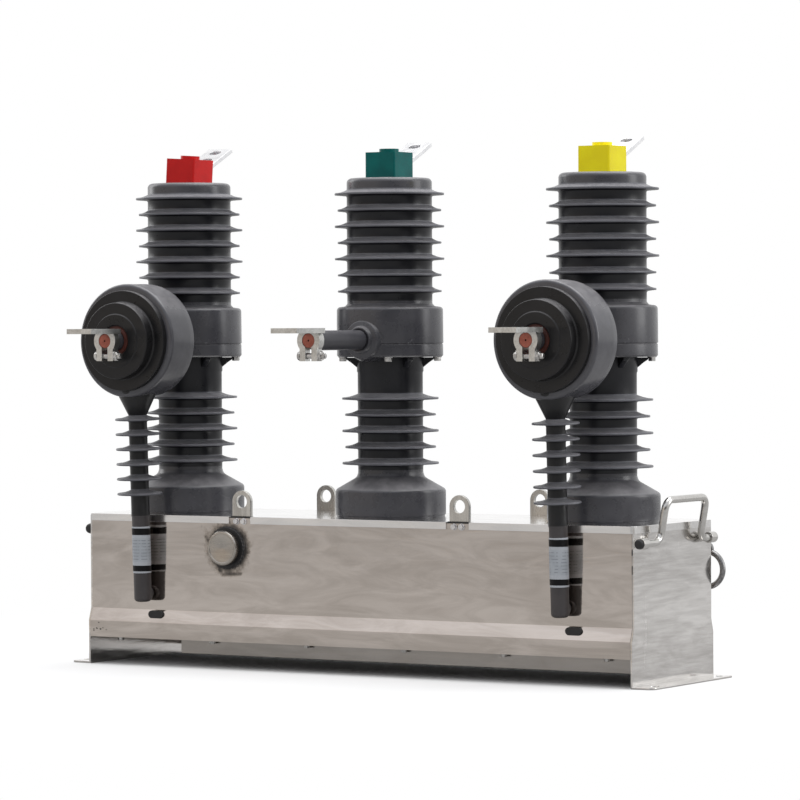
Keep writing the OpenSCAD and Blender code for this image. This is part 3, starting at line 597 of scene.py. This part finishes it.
    def make(self, name, mats, body, replaces=(), sharp=32):
        """Turn the shape into a piece of the model."""
        me = bpy.data.meshes.new(name)
        me.from_pydata([Vector(p) * MM for p in self.v], [], self.f)
        for mt in mats:
            me.materials.append(mt)
        me.polygons.foreach_set("material_index", self.m)
        return finish_mesh(name, me, body, replaces, sharp)


def finish_mesh(name, me, body, replaces, sharp, from_cad=False):
    """Shade and place on its body, hiding what it replaces. A CAD node's shape also gets flat faces between
    soft edges.
    """
    if not from_cad:
        bm = bmesh.new()
        bm.from_mesh(me)
        bmesh.ops.remove_doubles(bm, verts=bm.verts, dist=1e-6)
        bmesh.ops.recalc_face_normals(bm, faces=bm.faces)
        bm.to_mesh(me)
        bm.free()
    me.shade_smooth()
    me.set_sharp_from_angle(angle=math.radians(sharp))
    ob = bpy.data.objects.new(name, me)
    bpy.context.scene.collection.objects.link(ob)
    if from_cad:
        keep = ob.modifiers.new("flat_faces", "WEIGHTED_NORMAL")
        keep.keep_sharp = True
        keep.weight = 100
        seen = bpy.context.evaluated_depsgraph_get()
        ob.data = bpy.data.meshes.new_from_object(ob.evaluated_get(seen))
        ob.modifiers.clear()
    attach(ob, body)
    if replaces:
        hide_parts(*replaces)
    return ob


TILT_DROP = 1.1


def refine(node, mat, body, width, segs, angle, sharp=32, tilt=0.0):
    """A CAD node's own shape with softened edges: width and segs of the bevel, from angle degrees up."""
    me = NODES[node].data.copy()
    me.materials.clear()
    me.materials.append(mat)
    bm = bmesh.new()
    bm.from_mesh(me)
    bmesh.ops.remove_doubles(bm, verts=bm.verts, dist=2e-6)
    bmesh.ops.dissolve_limit(bm, angle_limit=math.radians(0.5), verts=bm.verts, edges=bm.edges)
    edges = [e for e in bm.edges if len(e.link_faces) == 2 and e.calc_face_angle(0) > math.radians(angle)]
    if edges:
        bmesh.ops.bevel(bm, geom=edges, offset=width * MM, segments=segs, profile=0.5, affect="EDGES",
                        clamp_overlap=True)
    for f in bm.faces:
        f.material_index = 0
    if tilt:
        low, high = box(node)
        pivot = Vector(((low.x + high.x) / 2, 0, low.z)) * MM
        turn = Matrix.Rotation(math.radians(tilt), 3, "Y")
        for v in bm.verts:
            v.co = turn @ (v.co - pivot) + pivot - Vector((0, 0, TILT_DROP * MM))
    bm.to_mesh(me)
    bm.free()
    me.validate()
    return finish_mesh(node + "_look", me, body, (node,), sharp, from_cad=True)


# ---------------------------------------------------------------- enclosure
refine("front_panel", M["front"], "breaker", 1.6, 3, 12)
refine("back_panel", M["back"], "breaker", 1.6, 3, 12)
refine("left_end_plate", M["end"], "breaker", 0.9, 2, 20)
refine("right_end_plate", M["end"], "breaker", 0.9, 2, 20)
refine("lid", M["lid"], "breaker", 1.8, 4, 30)
refine("bottom_pan", M["pan"], "breaker", 1.2, 3, 30)
refine("floor_plate", M["dark"], "breaker", 0.6, 2, 30)
LUGS = [("lifting_lug_%s_%s" % (wall, end), sign) for wall, sign in (("front", -1), ("back", 1))
        for end in ("left", "right")]
for lug, _ in LUGS:
    refine(lug, M["lug"], "breaker", 0.7, 2, 30)
refine("cable_grommets", M["rubber"], "breaker", 0.9, 3, 30)
refine("handle_bosses", M["bar"], "breaker", 0.6, 2, 30)
refine("lever_pivot", M["zinc"], "breaker", 0.7, 2, 30)
refine("trip_lever", M["lever"], "lever", 0.7, 2, 30)

# Bolts under the front skirt
SKIRT_BOLTS, SKIRT_BOLT_R = 6, 4.5
lo, hi = box("skirt_bolts")
s = Shape()
x_first, x_last = lo.x + SKIRT_BOLT_R, hi.x - SKIRT_BOLT_R
y = (lo.y + hi.y) / 2
for i in range(SKIRT_BOLTS):
    x = x_first + (x_last - x_first) * i / (SKIRT_BOLTS - 1)
    s.disc((x, y, hi.z), (0, 0, -1), SKIRT_BOLT_R * 1.12, 0.9)
    s.hexagon((x, y, hi.z - 0.8), (0, 0, -1), SKIRT_BOLT_R * 0.98, hi.z - lo.z - 0.8,
              turn=RND.uniform(0, 1))
s.make("skirt_bolt_heads", [M["zinc"]], "breaker", ("skirt_bolts",))

# Two bolts at each lug's foot, and a black strip behind the lug as painted shadow in the slit it comes out
# of
LUG_BOLT_OUT, LUG_BOLT_APART = 4.0, 12
bolts_lo, bolts_hi = box("lug_bolts")
s = Shape()
for lug, sign in LUGS:
    face = sign * (abs(bolts_lo.y) - LUG_BOLT_OUT)
    for i in (-1, 1):
        c = (mid(lug).x + i * LUG_BOLT_APART / 2, face, (bolts_lo.z + bolts_hi.z) / 2)
        s.disc(c, (0, sign, 0), 4.7, 0.8)
        s.hexagon((c[0], c[1] + sign * 0.7, c[2]), (0, sign, 0), 4.2, LUG_BOLT_OUT - 0.7,
                  turn=RND.uniform(0, 1))
s.make("lug_bolt_heads", [M["bright"]], "breaker", ("lug_bolts",))
# Painted shadow: a black strip in the slit behind each lug
s = Shape()
for lug, sign in LUGS:
    lo, hi = box(lug)
    inner = lo.y if sign < 0 else hi.y
    y0, y1 = sorted((inner + sign * 0.2, inner + sign * 2.4))
    s.block((lo.x - 1.5, y0, box("front_panel")[1].z), (hi.x + 1.5, y1, box("lid")[1].z + 0.6))
s.make("lug_slit_shadow_strips", [M["rubber"]], "breaker")

# Stitch welds down two corners of the box: front right and back left
s = Shape()
for end in (-1, 1):
    wx = end * (box("right_end_plate")[0].x + 0.4)
    wy = -end * (box("lid")[1].y - 2.6)
    for zc, h in ((180.5, 9), (157, 12)):
        s.tube([(wx, wy, zc - h / 2 + h * k / 5) for k in range(6)], 1.15, 10, 0.8)
s.make("stitch_welds", [M["weld"]], "breaker")

# ---------------------------------------------------------------- round plug
# The ring's rim is cut into soft teeth by drawing every other part of it inwards
TEETH, TOOTH_DEPTH = 34, 0.045
s = Shape()
t = plug_hi.y - plug_lo.y
R = PLUG_R
c = ((plug_lo.x + plug_hi.x) / 2, plug_hi.y, (plug_lo.z + plug_hi.z) / 2)
prof = [(0, 0), (R - 0.6, 0), (R, 0.8), (R, t - 2.2), (R - 1.5, t - 2.0), (R - 1.6, t - 0.5),
        (R - 2.2, t), (0, t)]
# The ring's outer side and a narrow band above it take bright metal: painted glints on the dark ring
s.lathe(prof, c, "f", TEETH * 6, mats=[0, 0, 1, 0, 1, 0, 0])
for i, p in enumerate(s.v):
    dx, dz = p[0] - c[0], p[2] - c[2]
    r = math.hypot(dx, dz)
    if r > R * 0.9:
        wave = 0.5 + 0.5 * math.cos(math.atan2(dz, dx) * TEETH)
        k = 1 - TOOTH_DEPTH * wave * min(1, (r / R - 0.9) / 0.06)
        s.v[i] = (c[0] + dx * k, p[1], c[2] + dz * k)
s.make("plug_ring_knurled", [M["rubber"], M["bright"]], "breaker", ("plug_ring",), 25)

lo, hi = box("plug_cap")
s = Shape()
R = (hi.x - lo.x) / 2
t = hi.y - lo.y
c = ((lo.x + hi.x) / 2, hi.y, (lo.z + hi.z) / 2)
s.lathe(fillet([(0, 0), (R - 1.5, 0), (R - 1.5, 2.4, 0.6), (R, 3.2, 0.6), (R, t - 1.4, 1.0),
                (R - 1.4, t, 0.8), (R - 3.6, t), (R - 4.4, t - 0.5, 0.3), (4, t - 0.5), (2.2, t - 1.2),
                (0, t - 1.2)], 4), c, "f", 112)
s.make("plug_cap_turned", [M["plug"]], "breaker", ("plug_cap",), 25)

# ---------------------------------------------------------------- handles
BEND, BAR_R = 14.0, 5.0
BAIL_HALF, BAIL_HEIGHT = 57.0, 57.0


def arc(cy, cz, a0, a1):
    """A bend of the bar, in n steps from angle a0 to angle a1."""
    n = 12
    return [(cy + BEND * math.cos(math.radians(a0 + (a1 - a0) * k / n)),
             cz + BEND * math.sin(math.radians(a0 + (a1 - a0) * k / n))) for k in range(n + 1)]


def bail_path(y0, y1):
    """The bar's middle line seen from the end: along the hinge, up, across, down and along again."""
    pts = [(y0, 0)]
    pts += arc(-BAIL_HALF - BEND, BEND, -90, 0)
    pts += arc(-BAIL_HALF + BEND, BAIL_HEIGHT - BEND, 180, 90)
    pts += arc(BAIL_HALF - BEND, BAIL_HEIGHT - BEND, 90, 0)
    pts += arc(BAIL_HALF + BEND, BEND, 180, 270)
    pts += [(y1, 0)]
    out = []
    for a, b in zip(pts, pts[1:]):
        d = math.hypot(b[0] - a[0], b[1] - a[1])
        n = max(1, int(d / 8))
        out += [(a[0] + (b[0] - a[0]) * k / n, a[1] + (b[1] - a[1]) * k / n) for k in range(n)]
    return out + [pts[-1]]


joints = {j["name"]: j for j in frame["joints"]}


def hinge(side):
    """The handle's hinge line: its x, its front end's y, its back end's y and its z."""
    lo, hi = box("carrying_handle_" + side)
    x, _, z = joints[side + "_handle_hinge"]["pos_m"]
    return x * 1000, lo.y, hi.y, z * 1000


# The right bail stands up, 10 degrees outwards; the left one hangs down
for side, lean in (("left", math.pi), ("right", math.radians(10))):
    hx, y0, y1, hz = hinge(side)
    s = Shape()
    s.tube([(hx + z * math.sin(lean), y, hz + z * math.cos(lean)) for y, z in bail_path(y0, y1)],
           BAR_R, 28, 1.0)
    s.make("handle_bar_" + side, [M["bar"]], side + "_handle",
           ("carrying_handle_" + side,), 40)

# Domed caps on the front ends of the handles' bars
for side in ("left", "right"):
    hx, y0, _, hz = hinge(side)
    s = Shape()
    s.lathe(fillet([(0, 0), (6.6, 0), (6.6, 1.0, 0.6), (5.0, 3.2, 2.0), (0, 3.8)], 6),
            (hx, y0 + 0.3, hz), "f", 36)
    s.make("rod_end_cap_" + side, [M["rubber"]], side + "_handle", sharp=40)

# ---------------------------------------------------------------- poles
LOWER_R, LOWER_CORE, BELL_R = 67.5, 45.5, 77.0
UPPER_R, UPPER_CORE, COLLAR_R = 76.5, 59.5, 74.5
# Every other shed is smaller by STEP, and they stand PITCH apart
STEP, PITCH = 4.0, 22.6
LOWER_SHEDS, UPPER_SHEDS = 5, 7


def shed(core, tip, z, up=6.5, down=2.6, edge=1.4, n=9):
    """Shed profile read upwards: flat underside, round rim, upper face that flares at the core."""
    pts = [(core, z - down - 2.0), (core + 0.7, z - down - 0.7), (core + 2.2, z - down)]
    pts += [(tip - 3.0, z - edge - 0.15), (tip - 0.5, z - edge), (tip - 0.1, z - edge * 0.6), (tip, z),
            (tip - 0.1, z + edge * 0.6), (tip - 0.5, z + edge)]
    for k in range(1, n + 1):
        t = k / n
        r = tip - 0.5 - (tip - 0.5 - core) * t
        pts.append((r, z + edge + (up - edge) * t ** 1.8))
    pts.append((core, z + up + 1.6))
    return pts


SHED_UNDER = 5


def add_shed(prof, kinds, ring, under, top):
    """Append one shed; its rim and upper face take the paler material, painted top light."""
    prof += ring
    kinds += [under] * SHED_UNDER + [top] * (len(ring) - SHED_UNDER)


def add_rib(s, cx, cy, top_z, deg):
    """Curved rib under the collar, standing out from the lower insulator's core."""
    a = math.radians(deg)
    u = Vector((math.cos(a), math.sin(a), 0))
    w = Vector((-math.sin(a), math.cos(a), 0))
    outline = [(LOWER_CORE - 2, top_z - 1), (LOWER_CORE + 16, top_z - 1), (LOWER_CORE + 15, top_z - 4),
               (LOWER_CORE + 9, top_z - 8), (LOWER_CORE + 3, top_z - 13), (LOWER_CORE - 2, top_z - 17)]
    rings = []
    for off, inset in ((-4.3, 0.8), (-3.5, 0.0), (3.5, 0.0), (4.3, 0.8)):
        base = len(s.v)
        s.v += [tuple(Vector((cx, cy, z)) + u * (r - inset) + w * off) for r, z in outline]
        rings.append(list(range(base, len(s.v))))
    s.close_loops(rings)


# Core and shed undersides take the darker resin, painted shade; bell, collar and dome the plain resin; shed
# rims and upper faces the paler resin, painted top light
POLE_MATERIALS = [M["pole"], M["foot"], M["top"]]
for side in SIDES:
    lo, hi = box("lower_insulator_" + side)
    cx, cy = (lo.x + hi.x) / 2, (lo.y + hi.y) / 2
    z0, z1 = lo.z, hi.z
    s = Shape()
    prof = fillet([(0, z0), (BELL_R - 1.5, z0), (BELL_R - 1.5, z0 + 2.2, 0.4), (BELL_R, z0 + 3.0, 0.6),
                   (BELL_R, z0 + 38, 5.5), (LOWER_CORE + 2, z0 + 55, 9), (LOWER_CORE, z0 + 62, 4),
                   (LOWER_CORE, z0 + 66)], 6)
    kinds = [1] * (len(prof) - 1)
    for i in reversed(range(LOWER_SHEDS)):
        r = LOWER_R if i % 2 == 0 else LOWER_R - STEP
        add_shed(prof, kinds, shed(LOWER_CORE, r, z1 - 58 - i * PITCH), 0, 2)
    prof += [(LOWER_CORE, z1 - 22), (LOWER_CORE + 1, z1 - 20), (LOWER_CORE + 1, z1 - 0.5), (0, z1 - 0.5)]
    kinds += [0] * (len(prof) - 1 - len(kinds))
    s.lathe(prof, (cx, cy, 0), "z", 112, mats=kinds)
    for deg in (30, 90, 150, 210, 330):
        add_rib(s, cx, cy, z1, deg)
    s.make("lower_column_" + side, POLE_MATERIALS, "breaker", ("lower_insulator_" + side,), 35)

    lo, hi = box("upper_insulator_" + side)
    zc, zd = z1, hi.z
    s = Shape()
    prof = fillet([(0, zc), (COLLAR_R - 2.2, zc), (COLLAR_R - 0.3, zc + 2.2, 1.2),
                   (COLLAR_R - 0.5, zc + 17, 0.3), (COLLAR_R - 1.3, zc + 17.6, 0.2),
                   (COLLAR_R - 1.3, zc + 18.6, 0.2), (COLLAR_R, zc + 19.2, 0.3),
                   (COLLAR_R - 0.4, zc + 69, 5.0), (UPPER_CORE + 3, zc + 70.5, 2.0),
                   (UPPER_CORE, zc + 74, 2.0), (UPPER_CORE, zc + 78)], 6)
    kinds = [1] * (len(prof) - 1)
    for i in reversed(range(UPPER_SHEDS)):
        small = i % 2 == 1 or i == UPPER_SHEDS - 1
        r = UPPER_R - STEP if small else UPPER_R
        add_shed(prof, kinds, shed(UPPER_CORE, r, zd - 22 - i * PITCH, up=6.0), 0, 2)
    prof += fillet([(UPPER_CORE, zd - 13.5), (UPPER_CORE, zd, 13.0), (30, zd), (0, zd)], 12)
    kinds += [1] * (len(prof) - 1 - len(kinds))
    s.lathe(prof, (cx, cy, 0), "z", 120, mats=kinds)
    oz = mid("outlet_rod_" + side).z
    reach = cy - lo.y
    s.lathe(fillet([(0, 40), (31, 40), (31, 62), (28.5, reach - 12, 5), (26, reach - 6.5, 3.5),
                    (19.5, reach - 5, 1.5), (18.2, reach - 1.6, 1.0), (17.2, reach, 0.9),
                    (15.2, reach, 0.7), (14.4, reach - 3.0, 0.4), (0, reach - 3.2)], 5),
            (cx, cy, oz), "f", 72, mat=1)
    s.make("upper_column_" + side, POLE_MATERIALS, "breaker", ("upper_insulator_" + side,), 35)

    # Hex bolts that hold the collar from below, and a moulding nib on the seam
    s = Shape()
    for deg in (30, 120, 210, 300):
        a = math.radians(deg)
        c = (cx + 66 * math.cos(a), cy + 66 * math.sin(a), zc + 0.2)
        s.disc(c, (0, 0, -1), 6.2, 1.2)
        s.hexagon((c[0], c[1], c[2] - 1.1), (0, 0, -1), 5.4, 5.2, turn=RND.uniform(0, 1))
    s.make("collar_bolts_" + side, [M["zinc"]], "breaker")
    s = Shape()
    a = math.radians(-38)
    p = Vector((cx + (COLLAR_R - 0.4) * math.cos(a), cy + (COLLAR_R - 0.4) * math.sin(a), zc + 19.5))
    w = Vector((-math.sin(a), math.cos(a), 0))
    s.tube([p + w * k * 1.4 + Vector((0, 0, 0.32 * k * k)) for k in range(-1, 5)],
           0.8, 10, 0.5)
    s.make("seam_nib_" + side, [M["foot"]], "breaker")

# ---------------------------------------------------------------- caps and upper terminals
for side, shade in (("left", "red"), ("middle", "green"), ("right", "yellow")):
    refine("phase_cap_" + shade, M[shade], "breaker", 2.0, 5, 30, 40,
           tilt=3.5 if shade == "red" else 0)
    refine("top_terminal_" + side, M["plate"], "breaker", 0.55, 2, 30)

# ---------------------------------------------------------------- outlets
for side in SIDES:
    lo, hi = box("rod_sleeve_" + side)
    c = ((lo.x + hi.x) / 2, 0, (lo.z + hi.z) / 2)
    R = (hi.x - lo.x) / 2
    s = Shape()
    s.lathe(fillet([(10.1, -hi.y), (R - 0.2, -hi.y), (R - 0.1, -hi.y + 3), (R, -lo.y - 1, 0.8),
                    (R - 1, -lo.y, 0.4), (10.1, -lo.y)], 4), c, "f", 64)
    s.make("sleeve_tube_" + side, [M["sleeve"]], "breaker", ("rod_sleeve_" + side,), 35)
    lo, hi = box("outlet_rod_" + side)
    R = (hi.x - lo.x) / 2
    s = Shape()
    s.lathe(fillet([(0, -hi.y), (R, -hi.y), (R, -lo.y - 0.8, 0.5), (R - 0.8, -lo.y, 0.4), (1.6, -lo.y),
                    (0, -lo.y - 1.8)], 4), c, "f", 64)
    s.make("rod_bar_" + side, [copper_rod("copper_" + side, c[0], c[2])], "breaker",
           ("outlet_rod_" + side,), 35)
    refine("terminal_clamp_" + side, M["tin"], "breaker", 0.8, 3, 30)

# A bolt through each clamp's legs: its shank, and a washer and a hexagon outside each leg
CLAMP_LEG = 14.0
_, by, bz = mid("clamp_bolts")
s = Shape()
for side in SIDES:
    cx = mid("outlet_rod_" + side).x
    first, last = cx - CLAMP_LEG - 4.6, cx + CLAMP_LEG + 9.8
    s.tube([(first + k * (last - first) / 8, by, bz) for k in range(9)], 3.9, 20, 0.7)
    for sign, turn in ((-1, 0.2), (1, 0.5)):
        s.disc((cx + sign * CLAMP_LEG, by, bz), (sign, 0, 0), 6.9, 1.0)
        s.hexagon((cx + sign * (CLAMP_LEG + 0.9), by, bz), (sign, 0, 0), 6.8, 4.0, turn=turn)
s.make("clamp_bolt_set", [M["zinc"]], "breaker", ("clamp_bolts",))

# ---------------------------------------------------------------- ring transformers
LABEL_H = 66.0
label_z0 = mid("arm_labels").z - LABEL_H / 2
label_z1 = label_z0 + LABEL_H
ring_lo, ring_hi = box("current_transformer_right")
ARM_Y = ring_hi.y - 30.0
ARM_TOP = ring_lo.z + 8.0
M["label"] = label_foil("arm_label", label_z0, label_z1)
LEAN = math.radians(2.3)
# The ring's face stands this far out from its shoulder
RING_FACE_OUT = 17.5
ARM_SHEDS, ARM_PITCH = 6, 21.1
ARM_R, OUTLET_R, OUTLET_L = 13.0, 10.5, 14.0


def lean_down(shape, axis_y, top_z):
    """Turn a hanging arm about the X axis at its top, as the CAD node leans."""
    for i, (x, y, z) in enumerate(shape.v):
        dy, dz = y - axis_y, z - top_z
        shape.v[i] = (x, axis_y + dy * math.cos(LEAN) - dz * math.sin(LEAN),
                      top_z + dz * math.cos(LEAN) + dy * math.sin(LEAN))


for side in ("left", "right"):
    lo, hi = box("current_transformer_" + side)
    c = ((lo.x + hi.x) / 2, hi.y, (lo.z + hi.z) / 2)
    R = (hi.x - lo.x) / 2
    L = hi.y - lo.y
    s = Shape()
    step = L - RING_FACE_OUT
    prof = fillet([(13.9, 2), (30, 0), (R - 2.5, 0, 0.4), (R - 0.6, 2, 1.5), (R, 12, 8),
                   (R, step - 8, 8.0), (R - 9.2, step - 7.9, 0.3), (R - 9.5, step, 1.3), (R - 11, step),
                   (55.4, step - 0.3, 1.4), (53.8, step + 1.5, 0.8), (53.5, step + 16, 1.5),
                   (51, step + 16.1), (38.3, step + 16, 0.5), (37.2, step + 17.0, 0.4), (36.6, L, 0.4),
                   (22.5, L, 0.8), (21.0, L - 2.0, 0.8)], 6)
    # The ring's side takes the paler copy, painted light; its face the darker copy, painted shade
    kinds = [0] * (len(prof) - 1)
    side_end = next(i for i, q in enumerate(prof) if q[1] > step - 7.95)
    kinds[:side_end] = [2] * side_end
    prof += [(19.0, L - 3.0), (15.6, L - 2.2), (14.2, L - 2.4), (13.9, L - 5.0), (13.9, 2)]
    kinds += [1] * 4 + [0]
    s.lathe(prof, c, "f", 112, mats=kinds)
    s.make("ring_body_" + side, [M["ring"], M["seal"], M["ring_side"]], "breaker",
           ("current_transformer_" + side,), 30)

    lo, hi = box("transformer_arm_" + side)
    ax, z = (lo.x + hi.x) / 2, lo.z
    s = Shape()
    prof = fillet([(0, z), (12.4, z, 5.5), (12.5, z + 60, 1), (12.5, label_z1 + 13),
                   (13.2, label_z1 + 15.5, 0.8), (ARM_R, label_z1 + 22), (ARM_R, label_z1 + 32)], 7)
    # Neck, shed undersides and funnel take the darker arm resin, painted shade; rims and upper faces the
    # paler resin, painted top light
    kinds = [0] * (len(prof) - 3) + [1, 1]
    for i in reversed(range(ARM_SHEDS)):
        tip_z = ARM_TOP - 39 - i * ARM_PITCH
        add_shed(prof, kinds, shed(ARM_R, 32.0, tip_z, up=5.5, down=2.4, edge=1.2, n=8), 1, 2)
    prof += fillet([(ARM_R, ARM_TOP - 33), (14.5, ARM_TOP - 30, 3), (25.5, ARM_TOP - 7, 6),
                    (27.8, ARM_TOP, 2), (27.8, ARM_TOP + 9, 1), (0, ARM_TOP + 9)], 5)
    kinds += [1] * (len(prof) - 1 - len(kinds))
    s.lathe(prof, (ax, ARM_Y, 0), "z", 72, mats=kinds)
    s.lathe(fillet([(0, 0), (OUTLET_R, 0), (OUTLET_R, OUTLET_L, 4.0), (0, OUTLET_L)], 7),
            (ax, ARM_Y, z + 11.5), "b", 48)
    lean_down(s, ARM_Y, ARM_TOP)
    s.make("hanging_arm_" + side, [M["arm"], M["shed"], M["top"]], "breaker",
           ("transformer_arm_" + side,), 35)

s = Shape()
for side in ("left", "right"):
    ax = mid("transformer_arm_" + side).x
    R = box("arm_labels")[1].x - mid("transformer_arm_right").x
    s.lathe(fillet([(12.4, 0), (R - 0.05, 0, 0.2), (R, 1), (R, LABEL_H - 1), (R - 0.05, LABEL_H, 0.2),
                    (12.4, LABEL_H)], 2), (ax, ARM_Y, label_z0), "z", 64)
lean_down(s, ARM_Y, ARM_TOP)
s.make("arm_label_wraps", [M["label"]], "breaker", ("arm_labels",), 35)

# ---------------------------------------------------------------- stage, light, camera
# The floor shows pale and keeps the shadow, which is full under the box; FLOOR_BOUNCE is what it gives back
FLOOR_BOUNCE = (0.30, 0.295, 0.29, 1)
fm, g, bs, co = material("floor_paint", Roughness=0.9, Specular_IOR_Level=0.05)
lp = g.t.nodes.new("ShaderNodeLightPath")
fx, fy, _ = g.split(co)
half_x = CAD_BOX[1][0] - 0.03
half_y = box("lid")[1].y * MM
under = g.math("MULTIPLY", g.ramp(g.math("ABSOLUTE", fx), half_x - 0.01, half_x + 0.03, 1, 0),
               g.ramp(g.math("ABSOLUTE", fy), half_y - 0.01, half_y + 0.03, 1, 0))
away = g.math("SUBTRACT", 1.0, under)
dist = g.vmath("LENGTH", g.vmath("MULTIPLY", co, (1, 1, 0)))
far = g.math("MULTIPLY", away, g.ramp(dist, 0.45, 1.3, 0.50, 1.0))
seen = g.math("ADD", g.math("ADD", lp.outputs["Is Camera Ray"], lp.outputs["Is Transmission Ray"]),
              g.math("MULTIPLY", lp.outputs["Is Glossy Ray"], 0.35), clamp=True)
em = g.add("ShaderNodeEmission", Color=(1, 1, 1, 1), Strength=1.0)
mixs = g.t.nodes.new("ShaderNodeMixShader")
g.put(mixs.inputs[0], g.math("MULTIPLY", seen, far))
g.t.links.new(bs.outputs[0], mixs.inputs[1])
g.t.links.new(em.outputs[0], mixs.inputs[2])
paint = g.mix(g.ramp(g.noise(co, 3, 2), 0.3, 0.7), (0.90, 0.90, 0.90, 1), (0.92, 0.92, 0.92, 1))
g.put(bs.inputs["Base Color"], g.mix(lp.outputs["Is Camera Ray"], FLOOR_BOUNCE, paint))
out = [n for n in g.t.nodes if n.type == "OUTPUT_MATERIAL"][0]
g.t.links.new(mixs.outputs[0], out.inputs[0])
bpy.ops.mesh.primitive_grid_add(x_subdivisions=8, y_subdivisions=8, size=24)
floor = bpy.context.active_object
floor.name = "studio_floor"
floor.data.materials.append(fm)

# White to the camera; a plain level as light; a studio with a darker front in the metal's reflections
world = bpy.data.worlds.new("studio")
bpy.context.scene.world = world
world.use_nodes = True
g = Net(world.node_tree)
wo = g.t.nodes.new("ShaderNodeOutputWorld")
bg = g.t.nodes.new("ShaderNodeBackground")
g.t.links.new(bg.outputs[0], wo.inputs[0])
d = g.t.nodes.new("ShaderNodeTexCoord").outputs["Generated"]
dx, dy, dz = g.split(d)
ahead = g.ramp(g.math("MULTIPLY", dy, -1.0), -0.15, 0.45)
high = g.ramp(dz, 0.22, 0.55)
facing = g.ramp(g.vmath("DOT_PRODUCT", d, (0.53, -0.85, 0.0)), 0.80, 0.97)
beside = g.ramp(g.vmath("DOT_PRODUCT", d, (-0.53, -0.85, 0.0)), 0.62, 0.92)
low_front = g.mix(beside, (0.50, 0.48, 0.46, 1), (0.70, 0.625, 0.55, 1))
low_front = g.mix(facing, low_front, (0.10, 0.10, 0.105, 1))
trees = g.ramp(g.noise(g.scaled(d, (2, 2, 7)), 2.4, 4, 0.55), 0.35, 0.65, 0.84, 1.12)
tone = g.add("ShaderNodeCombineColor", Red=trees, Green=trees, Blue=trees).outputs[0]
low_front = g.mix(1.0, low_front, tone, "MULTIPLY")
room = g.mix(high, low_front, (0.92, 0.94, 1.0, 1))
studio = g.mix(ahead, (1, 1, 1, 1), room)
lp = g.t.nodes.new("ShaderNodeLightPath")
seen = g.math("ADD", lp.outputs["Is Camera Ray"], lp.outputs["Is Transmission Ray"], clamp=True)
plain = g.mix(ahead, (0.96, 0.97, 1.0, 1), (0.92, 0.92, 0.93, 1))
studio = g.mix(lp.outputs["Is Glossy Ray"], plain, studio)
g.put(bg.inputs["Color"], g.mix(seen, studio, (1, 1, 1, 1)))
bg.inputs["Strength"].default_value = 1.0


def lamp(name, loc, target, size, power):
    d = bpy.data.lights.new(name, "AREA")
    d.shape = "RECTANGLE"
    d.size, d.size_y = size
    d.energy = power
    o = bpy.data.objects.new(name, d)
    bpy.context.scene.collection.objects.link(o)
    o.location = loc
    o.rotation_euler = (Vector(target) - Vector(loc)).to_track_quat("-Z", "Y").to_euler()


lamp("top_softbox", (0.2, 0.4, 2.6), (0, 0, 0.3), (2.6, 2.0), 42)
lamp("right_softbox", (2.4, 1.0, 1.2), (0.2, 0, 0.4), (1.0, 1.6), 14)
lamp("left_softbox", (-2.4, 0.2, 1.3), (0, 0, 0.4), (0.9, 1.6), 9)

# The camera's place, lens and small roll came from a fit of the part to the photograph
CAM_PLACE = (3.0518, -4.8835, 0.48796)
CAM_YAW, CAM_DOWN, CAM_ROLL = 31.9, 1.1, -0.3


def spin(degrees, axis):
    return Matrix.Rotation(math.radians(degrees), 4, axis)


cam_data = bpy.data.cameras.new("photo_camera")
cam_data.lens = 185.33
cam_data.sensor_width = 36
cam_data.clip_end = 200
cam = bpy.data.objects.new("photo_camera", cam_data)
bpy.context.scene.collection.objects.link(cam)
cam.matrix_world = (Matrix.Translation(CAM_PLACE) @ spin(CAM_YAW, "Z") @ spin(90 - CAM_DOWN, "X")
                    @ spin(CAM_ROLL, "Z"))
bpy.context.scene.camera = cam
bpy.context.scene.view_settings.view_transform = "Standard"
